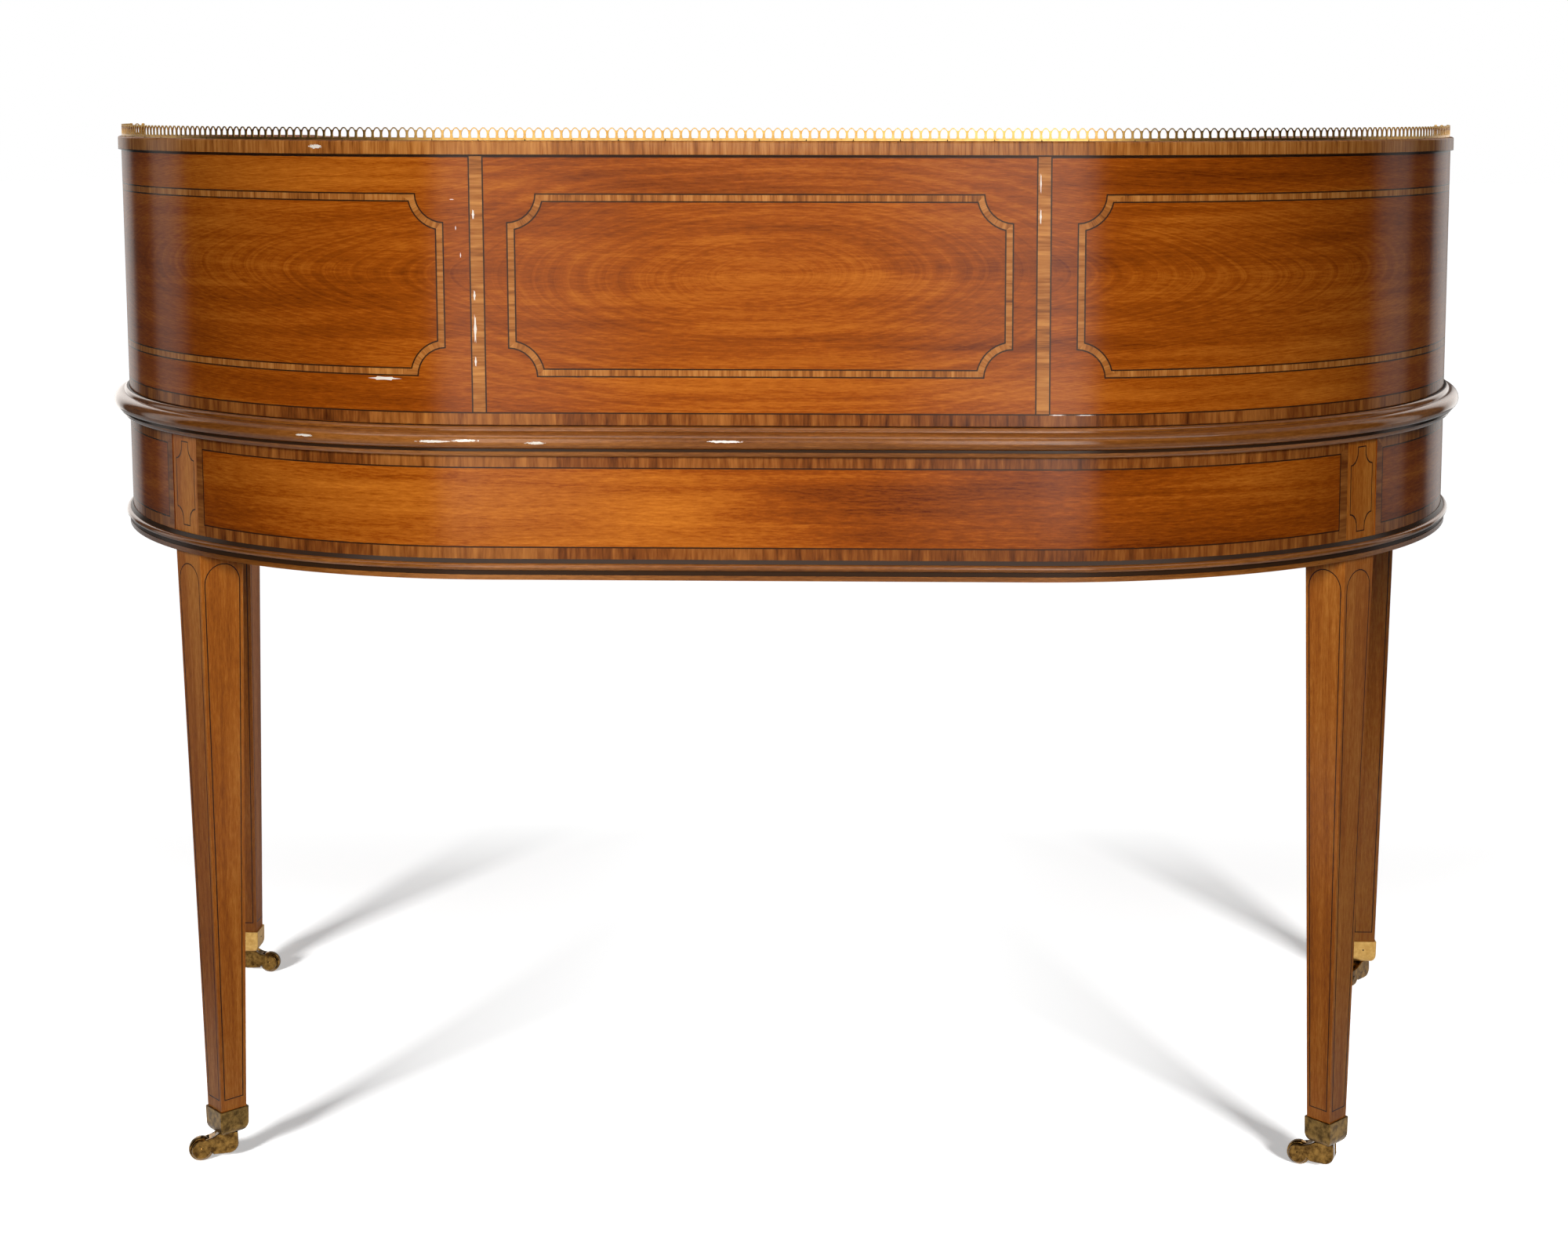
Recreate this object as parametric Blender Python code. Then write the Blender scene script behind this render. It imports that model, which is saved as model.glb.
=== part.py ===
"""Carlton House desk: a D-shaped writing table on four tapered legs with brass castors.

A curved superstructure stands on the table top and runs down at both sides in sloping arms.
It holds a bank of small drawers, two bowed cupboard doors, two lidded compartments and two
arm drawers. The frieze below holds three drawers with bail handles, and a pierced brass
gallery runs round the top board. The sitter's side faces -Y, the curved back faces +Y, and
the origin is on the floor under the middle of the desk. Lengths are in metres.
"""

import math

import bmesh
import bpy
from mathutils import Matrix, Vector

# Plan of the desk: a D with its straight side to the sitter
WIDTH = 1.380
DEPTH = 0.690
CORNER_RADIUS = 0.445
ARC_STEPS = 16

# Heights that stack up from the floor
CASTOR_HEIGHT = 0.0275
CAP_HEIGHT = 0.0253
CARCASE_Z = 0.613
FRIEZE_HEIGHT = 0.112
TOP_THICKNESS = 0.028
WALL_HEIGHT = 0.2394
TOP_BOARD_THICKNESS = 0.013

# Clearances between pieces, and how far a cutter runs past what it cuts
GAP = 0.0003
SLIDE_CLEARANCE = 0.0008
OVERRUN = 0.010
WELD_DISTANCE = 0.000001
SMOOTH_ANGLE = math.radians(35)

# Carcase inside the frieze
RAIL_THICKNESS = 0.022
FRONT_RAIL_HEIGHT = 0.0195
FRONT_RAIL_DEPTH = 0.040
DUST_BOARD_THICKNESS = 0.012
GUIDE_THICKNESS = 0.018

# Legs: square, tapered below the carcase, the rear pair turned to face the corners
LEG_WIDTH = 0.046
LEG_FOOT_WIDTH = 0.0265
REAR_LEG_ANGLE = math.radians(45)
REAR_LEG_SETBACK = 0.0012

# Brass caps, hollow cups round the feet of the legs
CAP_WALL = 0.0015
CAP_FLOOR = 0.003
CAP_ROUNDING = 0.0012

# Castors
WHEEL_RADIUS = 0.012
WHEEL_WIDTH = 0.0085
WHEEL_EDGE = 0.0014
WHEEL_STEPS = 16
CASTOR_TRAIL = 0.026
HORN_WIDTH = 0.0136
HORN_HEAD_RADIUS = 0.0096
HORN_BOSS_RADIUS = 0.009
HORN_HEEL_RADIUS = 0.0095
HORN_BELLY_Z = 0.0055
HORN_NOTCH = 0.0022
HORN_HEEL_ANGLES = (180, 210, 240, 270)
HORN_HEAD_ANGLES = (-160, -134, -108, -82, -56, -30, -4, 22, 48, 74, 100)
WHEEL_SIDE_PLAY = 0.0004
WHEEL_ROOM = 0.0012
AXLE_RADIUS = 0.0016
AXLE_PLAY = 0.0004
AXLE_HEAD = 0.0006

# Mouldings: the waist moulding round the table top and the lower one round the carcase
WAIST_REACH = 0.015
WAIST_FOOT_REACH = 0.0035
WAIST_OVOLO_REACH = 0.008
WAIST_OVOLO_HEIGHT = 0.0055
WAIST_FILLET_REACH = 0.0095
WAIST_FILLET_HEIGHT = 0.0025
WAIST_BEAD_REACH = 0.0055
WAIST_BEAD_HEIGHT = 0.0045
LOWER_HEIGHT = 0.0185
LOWER_REACH = 0.0065
LOWER_FOOT_REACH = 0.0035
LOWER_FOOT_HEIGHT = 0.0045
LOWER_NECK_REACH = 0.0028
LOWER_NECK_HEIGHT = 0.004
LOWER_ROUND_HEIGHT = 0.0065
LOWER_CREST_REACH = 0.003
NOSE_STEPS = 6
ROUND_STEPS = 4
QUARTER_STEPS = 2

# Leather let into the table top
LEATHER_THICKNESS = 0.0015
LEATHER_BORDER = 0.030
LEATHER_FRONT_BORDER = 0.045

# Superstructure
SUPER_DEPTH = 0.190
WALL_THICKNESS = 0.014
BANK_SIDE_THICKNESS = 0.011
BANK_DIVIDER_THICKNESS = 0.008
BANK_SIDE_SHIFT = 0.001
HIGH_DEPTH = 0.397
HEAD_THICKNESS = 0.012
HEAD_NOSE_HEIGHT = 0.014
SWEEP_RUN = 0.040
SWEEP_DROP = 0.0527
SWEEP_STEPS = 5
ARM_BLOCK_DEPTH = 0.038
ARM_HEIGHT = 0.085
ARM_SETBACK = 0.010
ARM_WALL_THICKNESS = 0.012
ARM_FLOOR_THICKNESS = 0.008
ARM_DRAWER_HEIGHT = 0.062
ARM_DRAWER_ROOM = 0.048
LID_THICKNESS = 0.008
LID_END_CLEARANCE = 0.0005
BOARD_OVERHANG = 0.003
BOARD_ROUNDING = 0.0018

# Cupboard doors
DOOR_THICKNESS = 0.012
DOOR_CLEARANCE = 0.0006
DOOR_KNOB_ANGLE = math.radians(8)

# Brass gallery
GALLERY_SETBACK = 0.0015
GALLERY_THICKNESS = 0.0012
GALLERY_HEIGHT = 0.0117
GALLERY_VALLEY = 0.0088
GALLERY_RAIL = 0.0022
GALLERY_PITCH = 0.00812
GALLERY_POST = 0.002
GALLERY_SPRING = 0.0074
GALLERY_CROWN = 0.0106
GALLERY_END_SETBACK = 0.006
GALLERY_RETURN = 0.012

# Drawers
DRAWER_FRONT = 0.018
DRAWER_SIDE = 0.009
DRAWER_BOTTOM = 0.006
SMALL_DRAWER_FRONT = 0.010
SMALL_DRAWER_SIDE = 0.006
SMALL_DRAWER_BOTTOM = 0.005
SIDE_DROP = 0.008
CENTRE_DRAWER_ROOM = 0.150
SIDE_DRAWER_ROOM = 0.030
BANK_DRAWER_ROOM = 0.008

# Knobs of the small drawers, doors and lids
KNOB_RADIUS = 0.0065
KNOB_NECK_RADIUS = 0.0032
KNOB_NECK = 0.005
KNOB_LENGTH = 0.013
KNOB_ROOT = 0.002
KNOB_STEPS = 8
KNOB_ANGLES = (-30, 0, 40)
LID_KNOB_INSET = 0.022

# Bail handles of the frieze drawers
PLATE_LENGTH = 0.096
PLATE_HEIGHT = 0.026
PLATE_THICKNESS = 0.0015
PLATE_STEPS = 14
POST_SPACING = 0.066
POST_RADIUS = 0.004
POST_LENGTH = 0.011
POST_STEPS = 8
BAIL_RADIUS = 0.0018
BAIL_PLAY = 0.0006
BAIL_DROP = 0.023
BAIL_SHOULDER = 0.0035
BAIL_POINTS = 9

# Derived places
HALF_WIDTH = WIDTH / 2
FRONT_Y = -DEPTH / 2
BACK_Y = DEPTH / 2
STRAIGHT_HALF = HALF_WIDTH - CORNER_RADIUS
CENTRE_Y = BACK_Y - CORNER_RADIUS
FRIEZE_TOP = CARCASE_Z + FRIEZE_HEIGHT
TABLE_Z = FRIEZE_TOP + TOP_THICKNESS
WALL_Z = TABLE_Z + GAP
WALL_TOP = WALL_Z + WALL_HEIGHT
BOARD_Z = WALL_TOP + GAP
BOARD_TOP = BOARD_Z + TOP_BOARD_THICKNESS
BOARD_FRONT_Y = BACK_Y - HIGH_DEPTH - BOARD_OVERHANG
BANK_HALF = STRAIGHT_HALF + BANK_SIDE_SHIFT
BANK_OUTER = BANK_HALF + BANK_SIDE_THICKNESS
HIGH_Y = BACK_Y - HIGH_DEPTH
HEAD_BACK_Y = HIGH_Y + HEAD_THICKNESS
NOSE_Y = HIGH_Y - SWEEP_RUN
NOSE_Z = WALL_TOP - SWEEP_DROP
ARM_Z = TABLE_Z + ARM_HEIGHT
ARM_FRONT_Y = FRONT_Y + ARM_SETBACK
SLOPE_END_Y = ARM_FRONT_Y + ARM_BLOCK_DEPTH
ARM_OUTER_X = HALF_WIDTH - WALL_THICKNESS
ARM_INNER_X = HALF_WIDTH - SUPER_DEPTH + ARM_WALL_THICKNESS
ARM_FLOOR_Z = WALL_Z + ARM_DRAWER_HEIGHT
SLOPE_ANGLE = math.atan2(NOSE_Z - ARM_Z, NOSE_Y - SLOPE_END_Y)
DRAWER_Z = CARCASE_Z + FRONT_RAIL_HEIGHT + GAP
DRAWER_TOP = FRIEZE_TOP - SLIDE_CLEARANCE
SIDES = {"left": -1, "right": 1}


# Materials
def make_material(name, colour, roughness, metallic):
    material = bpy.data.materials.new(name)
    material.use_nodes = True
    shader = material.node_tree.nodes["Principled BSDF"]
    shader.inputs["Base Color"].default_value = (*colour, 1.0)
    shader.inputs["Roughness"].default_value = roughness
    shader.inputs["Metallic"].default_value = metallic
    return material


def make_materials():
    return {
        "satinwood": make_material("satinwood", (0.40, 0.13, 0.025), 0.30, 0.0),
        "moulding": make_material("dark_moulding", (0.16, 0.065, 0.02), 0.30, 0.0),
        "lining": make_material("drawer_lining", (0.30, 0.16, 0.07), 0.55, 0.0),
        "brass": make_material("lacquered_brass", (0.60, 0.42, 0.16), 0.30, 1.0),
        "leather": make_material("green_leather", (0.03, 0.09, 0.05), 0.50, 0.0),
    }


# Turning bmesh shapes into objects
def place(name, shape, material, origin=(0, 0, 0), parent=None, turn=0.0):
    """Make one object; the shape is given in world place, unless a turn is given."""
    mesh = bpy.data.meshes.new(name)
    if not turn:
        bmesh.ops.translate(shape, verts=shape.verts, vec=-Vector(origin))
    bmesh.ops.recalc_face_normals(shape, faces=shape.faces)
    shape.to_mesh(mesh)
    shape.free()
    mesh.materials.append(material)
    mesh.shade_smooth()
    mesh.set_sharp_from_angle(angle=SMOOTH_ANGLE)
    piece = bpy.data.objects.new(name, mesh)
    bpy.context.collection.objects.link(piece)
    piece.location = origin
    if parent:
        piece.parent = parent
        piece.location = Vector(origin) - parent.location
    piece.rotation_euler.z = turn
    return piece


def combined(base, tool, operation):
    """Closed body left by a union, difference or intersection of two closed bodies."""
    pieces = []
    for shape in (base, tool):
        bmesh.ops.recalc_face_normals(shape, faces=shape.faces)
        mesh = bpy.data.meshes.new("operand")
        shape.to_mesh(mesh)
        shape.free()
        piece = bpy.data.objects.new("operand", mesh)
        bpy.context.collection.objects.link(piece)
        pieces.append(piece)
    modifier = pieces[0].modifiers.new("cut", "BOOLEAN")
    modifier.operation = operation
    modifier.object = pieces[1]
    result = bmesh.new()
    result.from_object(pieces[0], bpy.context.evaluated_depsgraph_get())
    for piece in pieces:
        bpy.data.meshes.remove(piece.data)
    bmesh.ops.remove_doubles(result, verts=result.verts, dist=WELD_DISTANCE)
    return result


# Shapes
def loft(slices, closed=False):
    """Skin a row of equal loops of points; capped at both ends, or joined into a ring."""
    shape = bmesh.new()
    loops = [[shape.verts.new(point) for point in loop] for loop in slices]
    pairs = list(zip(loops, loops[1:]))
    if closed:
        pairs.append((loops[-1], loops[0]))
    else:
        shape.faces.new(reversed(loops[0]))
        shape.faces.new(loops[-1])
    for low, high in pairs:
        for i, vert in enumerate(low):
            after = (i + 1) % len(low)
            shape.faces.new((vert, low[after], high[after], high[i]))
    bmesh.ops.recalc_face_normals(shape, faces=shape.faces)
    return shape


def prism(outline, low, high):
    """Plan outline raised from one height to another."""
    return loft([[(p[0], p[1], z) for p in outline] for z in (low, high)])


def side_prism(outline, x_from, x_to):
    """Outline of (y, z) points carried across from one x to another."""
    return loft([[(x, p[0], p[1]) for p in outline] for x in (x_from, x_to)])


def block(x_range, y_range, z_range):
    corners = [(x_range[0], y_range[0]), (x_range[1], y_range[0]),
               (x_range[1], y_range[1]), (x_range[0], y_range[1])]
    return prism(corners, z_range[0], z_range[1])


def lathe(profile, steps, closed):
    """Turn (radius, height) points about Z; an open profile starts and ends on the axis."""
    slices = []
    for step in range(steps):
        angle = 2 * math.pi * (step + 0.5) / steps
        slices.append([(r * math.cos(angle), r * math.sin(angle), z) for r, z in profile])
    if closed:
        return loft(slices, closed=True)
    shape = bmesh.new()
    for loop, after in zip(slices, slices[1:] + slices[:1]):
        for i in range(len(profile) - 1):
            corners = [loop[i], after[i], after[i + 1], loop[i + 1]]
            if not profile[i][0]:
                corners.remove(after[i])
            if not profile[i + 1][0]:
                corners.remove(after[i + 1])
            shape.faces.new([shape.verts.new(point) for point in corners])
    bmesh.ops.remove_doubles(shape, verts=shape.verts, dist=WELD_DISTANCE)
    return shape


def rod(radius, start, end, steps):
    """Straight round rod between two points."""
    start, end = Vector(start), Vector(end)
    shape = lathe([(0, 0), (radius, 0), (radius, (end - start).length), (0, (end - start).length)],
                  steps, closed=False)
    aim = (end - start).to_track_quat("Z", "Y").to_matrix().to_4x4()
    bmesh.ops.transform(shape, matrix=Matrix.Translation(start) @ aim, verts=shape.verts)
    return shape


def knob(seat, outward):
    """Small turned knob whose root goes a little way into the wood at its seat."""
    profile = [(0, -KNOB_ROOT), (KNOB_NECK_RADIUS, -KNOB_ROOT), (KNOB_NECK_RADIUS, KNOB_NECK)]
    ball = (KNOB_LENGTH - KNOB_NECK) / 2
    for angle in KNOB_ANGLES:
        bend = math.radians(angle)
        profile.append((KNOB_RADIUS * math.cos(bend), KNOB_NECK + ball * (1 + math.sin(bend))))
    profile.append((0, KNOB_LENGTH))
    shape = lathe(profile, KNOB_STEPS, closed=False)
    aim = Vector(outward).to_track_quat("Z", "Y").to_matrix().to_4x4()
    bmesh.ops.transform(shape, matrix=Matrix.Translation(seat) @ aim, verts=shape.verts)
    return shape


# The D line in plan and the strips that follow it
def rim_line(offset, front_y=FRONT_Y):
    """D line moved outwards by offset, from the right front end round the back to the left."""
    right = [Vector((HALF_WIDTH + offset, front_y))]
    for step in range(ARC_STEPS + 1):
        angle = math.pi / 2 * step / ARC_STEPS
        ray = Vector((math.cos(angle), math.sin(angle)))
        right.append(Vector((STRAIGHT_HALF, CENTRE_Y)) + (CORNER_RADIUS + offset) * ray)
    return right + [Vector((-p.x, p.y)) for p in reversed(right)]


def keep_part(line, inside):
    """Stretch of a line where inside(point) is positive, ended where it changes sign."""
    kept = []
    for here, after in zip(line, line[1:]):
        value, next_value = inside(here), inside(after)
        if value > 0:
            kept.append(here)
        if (value > 0) != (next_value > 0):
            kept.append(here.lerp(after, value / (value - next_value)))
    if inside(line[-1]) > 0:
        kept.append(line[-1])
    return kept


def strip(outer, inner, *limits, front_y=FRONT_Y):
    """Plan outline of a wall between two offsets of the D line, trimmed by the limits."""
    edges = []
    for offset in (outer, inner):
        line = rim_line(offset, front_y)
        for limit in limits:
            line = keep_part(line, limit)
        edges.append(line)
    return edges[0] + edges[1][::-1]


def mirrored(outline, side):
    return [(side * p[0], p[1]) for p in outline]


def leg_side(point, side=1):
    """Distance of a plan point from the middle line of the right rear leg, towards the back."""
    away = Vector((side * point[0] - STRAIGHT_HALF, point[1] - CENTRE_Y))
    return away.y * math.cos(REAR_LEG_ANGLE) - away.x * math.sin(REAR_LEG_ANGLE)


def ramp_line():
    """Top line of the superstructure seen from the side, from the back to the arm's front."""
    line = [(BACK_Y + OVERRUN, WALL_TOP), (HIGH_Y, WALL_TOP)]
    for step in range(1, SWEEP_STEPS + 1):
        bend = math.pi / 2 * step / SWEEP_STEPS
        line.append((HIGH_Y - SWEEP_RUN * (1 - math.cos(bend)), WALL_TOP - SWEEP_DROP * math.sin(bend)))
    return line + [(SLOPE_END_Y, ARM_Z), (ARM_FRONT_Y - OVERRUN, ARM_Z)]


def ramped(outline):
    """Wall on a plan outline whose top follows the ramp line."""
    foot = [(ARM_FRONT_Y - OVERRUN, WALL_Z), (BACK_Y + OVERRUN, WALL_Z)]
    reach = HALF_WIDTH + OVERRUN
    body = prism(outline, WALL_Z, WALL_TOP + OVERRUN)
    return combined(body, side_prism(ramp_line() + foot, -reach, reach), "INTERSECT")


# Legs, caps and castors
def leg_axes():
    """Name, place in plan and turn of each leg."""
    axes = []
    for label, side in SIDES.items():
        inset = LEG_WIDTH / 2
        axes.append(("front_" + label, Vector((side * (HALF_WIDTH - inset), FRONT_Y + inset)), 0.0))
        reach = CORNER_RADIUS - REAR_LEG_SETBACK - inset
        x = STRAIGHT_HALF + reach * math.cos(REAR_LEG_ANGLE)
        y = CENTRE_Y + reach * math.sin(REAR_LEG_ANGLE)
        axes.append(("rear_" + label, Vector((side * x, y)), side * REAR_LEG_ANGLE))
    return axes


def square(centre, width, turn, z):
    """Square loop of points about a leg's axis."""
    loop = []
    for corner in range(4):
        angle = turn + math.pi / 4 + corner * math.pi / 2
        reach = width / math.sqrt(2)
        loop.append((centre.x + reach * math.cos(angle), centre.y + reach * math.sin(angle), z))
    return loop


def leg_width_at(z):
    share = (z - CASTOR_HEIGHT) / (CARCASE_Z - CASTOR_HEIGHT)
    return LEG_FOOT_WIDTH + share * (LEG_WIDTH - LEG_FOOT_WIDTH)


def leg_solid(centre, turn):
    foot = CASTOR_HEIGHT + CAP_FLOOR + GAP
    return loft([square(centre, leg_width_at(foot), turn, foot),
                 square(centre, LEG_WIDTH, turn, CARCASE_Z),
                 square(centre, LEG_WIDTH, turn, FRIEZE_TOP)])


def cap_solid(centre, turn):
    top = CASTOR_HEIGHT + CAP_HEIGHT
    floor = CASTOR_HEIGHT + CAP_FLOOR
    skin = 2 * (GAP + CAP_WALL)
    low_outer = leg_width_at(CASTOR_HEIGHT) + skin
    return loft([square(centre, low_outer - 2 * CAP_ROUNDING, turn, CASTOR_HEIGHT),
                 square(centre, low_outer, turn, CASTOR_HEIGHT + CAP_ROUNDING),
                 square(centre, leg_width_at(top) + skin, turn, top),
                 square(centre, leg_width_at(top) + 2 * GAP, turn, top),
                 square(centre, leg_width_at(floor) + 2 * GAP, turn, floor)])


def horn_outline():
    """Side outline of a castor's horn: boss under the cap, heel, belly, notch and round head."""
    top = CASTOR_HEIGHT - GAP
    outline = [(HORN_BOSS_RADIUS, top), (-HORN_BOSS_RADIUS, top)]
    heel_z = HORN_BELLY_Z + HORN_HEEL_RADIUS
    for angle in HORN_HEEL_ANGLES:
        bend = math.radians(angle)
        outline.append((HORN_HEEL_RADIUS * math.cos(bend), heel_z + HORN_HEEL_RADIUS * math.sin(bend)))
    outline.append((CASTOR_TRAIL - HORN_HEAD_RADIUS - HORN_NOTCH, HORN_BELLY_Z))
    for angle in HORN_HEAD_ANGLES:
        bend = math.radians(angle)
        outline.append((CASTOR_TRAIL + HORN_HEAD_RADIUS * math.cos(bend),
                        WHEEL_RADIUS + HORN_HEAD_RADIUS * math.sin(bend)))
    return outline


def along_y(outline, width):
    """Outline of (x, z) points with the given width across Y."""
    return loft([[(p[0], y, p[1]) for p in outline] for y in (-width / 2, width / 2)])


def horn_solid():
    """Swan-neck horn about its swivel axis, forked round the wheel, with the axle riveted in."""
    room = WHEEL_RADIUS + WHEEL_ROOM
    circle = []
    for step in range(WHEEL_STEPS):
        angle = 2 * math.pi * step / WHEEL_STEPS
        circle.append((CASTOR_TRAIL + room * math.cos(angle), WHEEL_RADIUS + room * math.sin(angle)))
    slot = along_y(circle, WHEEL_WIDTH + 2 * WHEEL_SIDE_PLAY)
    fork = combined(along_y(horn_outline(), HORN_WIDTH), slot, "DIFFERENCE")
    reach = HORN_WIDTH / 2 + AXLE_HEAD
    axle = rod(AXLE_RADIUS, (CASTOR_TRAIL, -reach, WHEEL_RADIUS), (CASTOR_TRAIL, reach, WHEEL_RADIUS),
               POST_STEPS)
    return combined(fork, axle, "UNION")


def wheel_solid():
    """Brass wheel about its own axle line, with its flats down on the floor."""
    rim = WHEEL_RADIUS / math.cos(math.pi / WHEEL_STEPS)
    bore = AXLE_RADIUS + AXLE_PLAY
    half = WHEEL_WIDTH / 2
    profile = [(bore, -half), (rim - WHEEL_EDGE, -half), (rim, WHEEL_EDGE - half),
               (rim, half - WHEEL_EDGE), (rim - WHEEL_EDGE, half), (bore, half)]
    shape = lathe(profile, WHEEL_STEPS, closed=True)
    bmesh.ops.rotate(shape, verts=shape.verts, matrix=Matrix.Rotation(math.pi / 2, 3, "X"))
    return shape


CASTOR_HEADINGS = {
    "rear_right": math.radians(20),
    "rear_left": math.radians(-22),
    "front_right": math.radians(178),
    "front_left": math.radians(50),
}


def make_legs(materials):
    for label, centre, turn in leg_axes():
        place("leg_" + label, leg_solid(centre, turn), materials["satinwood"])
        place("cap_" + label, cap_solid(centre, turn), materials["brass"])
        heading = CASTOR_HEADINGS[label]
        horn = place("castor_horn_" + label, horn_solid(), materials["brass"],
                     origin=(centre.x, centre.y, 0), turn=heading)
        wheel = place("castor_wheel_" + label, wheel_solid(), materials["brass"])
        wheel.parent = horn
        wheel.location = (CASTOR_TRAIL, 0, WHEEL_RADIUS)


# Mouldings
def arc_points(start, end, bulge, steps):
    """Points from start to end, swelling outwards by bulge; the start itself is left out."""
    points = []
    for step in range(1, steps + 1):
        share = step / steps
        swell = bulge * math.sin(math.pi * share)
        points.append((start[0] + share * (end[0] - start[0]) + swell,
                       start[1] + (1 - math.cos(math.pi * share)) / 2 * (end[1] - start[1])))
    return points


def quarter_points(start, end, steps, hollow=False):
    """Quarter-round from start to end, leaving start upright, or level where it is hollow."""
    points = []
    for step in range(1, steps + 1):
        bend = math.pi / 2 * step / steps
        across = math.sin(bend) if hollow else 1 - math.cos(bend)
        rise = 1 - math.cos(bend) if hollow else math.sin(bend)
        points.append((start[0] + across * (end[0] - start[0]), start[1] + rise * (end[1] - start[1])))
    return points


def waist_profile():
    """Waist moulding from its foot up: ovolo, fillet, bold nose and a bead against the wall."""
    fillet_z = FRIEZE_TOP + WAIST_OVOLO_HEIGHT
    nose_z = fillet_z + WAIST_FILLET_HEIGHT
    bead_z = TABLE_Z - WAIST_BEAD_HEIGHT
    foot = (WAIST_FOOT_REACH, FRIEZE_TOP)
    points = [(GAP, FRIEZE_TOP), foot]
    points += quarter_points(foot, (WAIST_OVOLO_REACH, fillet_z), QUARTER_STEPS, hollow=True)
    points += [(WAIST_FILLET_REACH, fillet_z), (WAIST_FILLET_REACH, nose_z)]
    swell = WAIST_REACH - (WAIST_FILLET_REACH + WAIST_BEAD_REACH) / 2
    points += arc_points((WAIST_FILLET_REACH, nose_z), (WAIST_BEAD_REACH, bead_z), swell, NOSE_STEPS)
    points += quarter_points((WAIST_BEAD_REACH, bead_z), (GAP, TABLE_Z), QUARTER_STEPS)
    return points


def lower_profile():
    """Lower moulding from its foot up: band, hollow neck, round and a small crest."""
    neck_z = CARCASE_Z + LOWER_FOOT_HEIGHT
    round_z = neck_z + LOWER_NECK_HEIGHT
    crest_z = round_z + LOWER_ROUND_HEIGHT
    top = CARCASE_Z + LOWER_HEIGHT
    points = [(GAP, CARCASE_Z), (LOWER_FOOT_REACH, CARCASE_Z), (LOWER_FOOT_REACH, neck_z),
              (LOWER_NECK_REACH, neck_z), (LOWER_NECK_REACH, round_z)]
    swell = LOWER_REACH - (LOWER_NECK_REACH + LOWER_CREST_REACH) / 2
    points += arc_points((LOWER_NECK_REACH, round_z), (LOWER_CREST_REACH, crest_z), swell, ROUND_STEPS)
    points.append((GAP, top))
    return points


def ring_moulding(profile):
    """Moulding of the given profile carried all round the D, mitred at the front corners."""
    slices = []
    for offset, z in profile:
        slices.append([(p.x, p.y, z) for p in rim_line(offset, FRONT_Y - offset)])
    return loft(slices, closed=True)


# Carcase
def make_carcase(materials):
    wood = materials["satinwood"]
    half_leg = LEG_WIDTH / 2 + GAP
    back = strip(0, -RAIL_THICKNESS, lambda p: leg_side(p) - half_leg, lambda p: leg_side(p, -1) - half_leg)
    place("back_frieze", prism(back, CARCASE_Z, FRIEZE_TOP), wood)
    behind_leg = FRONT_Y + LEG_WIDTH + GAP
    flank = strip(0, -RAIL_THICKNESS, lambda p: p[0], lambda p: -leg_side(p) - half_leg,
                  lambda p: p[1] - behind_leg)
    for label, side in SIDES.items():
        place(label + "_frieze", prism(mirrored(flank, side), CARCASE_Z, FRIEZE_TOP), wood)
    rail_half = HALF_WIDTH - LEG_WIDTH - GAP
    rail_back = FRONT_Y + FRONT_RAIL_DEPTH
    rail_top = CARCASE_Z + FRONT_RAIL_HEIGHT
    place("front_rail", block((-rail_half, rail_half), (FRONT_Y, rail_back), (CARCASE_Z, rail_top)), wood)
    make_dust_board(materials, rail_back, rail_top)
    back_end = rim_line(-RAIL_THICKNESS - GAP)
    for limit in (lambda p: p[0] - STRAIGHT_HALF, lambda p: STRAIGHT_HALF + GUIDE_THICKNESS - p[0],
                  lambda p: p[1] - CENTRE_Y):
        back_end = keep_part(back_end, limit)
    guide = [(back_end[-1].x, FRONT_Y), (back_end[0].x, FRONT_Y)] + back_end
    for label, side in SIDES.items():
        shape = prism(mirrored(guide, side), rail_top + GAP, FRIEZE_TOP)
        place(label + "_drawer_guide", shape, wood)
    place("lower_moulding", ring_moulding(lower_profile()), materials["moulding"])


def make_dust_board(materials, rail_back, rail_top):
    """Board under the drawers, notched round the four legs."""
    outline = rim_line(-RAIL_THICKNESS - GAP, rail_back + GAP)
    board = prism(outline, rail_top - DUST_BOARD_THICKNESS, rail_top)
    for _, centre, turn in leg_axes():
        notch = loft([square(centre, LEG_WIDTH + 2 * GAP, turn, z)
                      for z in (CARCASE_Z - OVERRUN, FRIEZE_TOP)])
        board = combined(board, notch, "DIFFERENCE")
    place("dust_board", board, materials["lining"])


def make_table_top(materials):
    top = prism(rim_line(0), FRIEZE_TOP + GAP, TABLE_Z)
    inset = -SUPER_DEPTH - LEATHER_BORDER
    leather_front = FRONT_Y + LEATHER_FRONT_BORDER
    floor = TABLE_Z - LEATHER_THICKNESS
    recess = prism(rim_line(inset + GAP, leather_front - GAP), floor - GAP, TABLE_Z + OVERRUN)
    place("table_top", combined(top, recess, "DIFFERENCE"), materials["satinwood"])
    place("writing_leather", prism(rim_line(inset, leather_front), floor, TABLE_Z), materials["leather"])
    place("waist_moulding", ring_moulding(waist_profile()), materials["moulding"])


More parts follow.
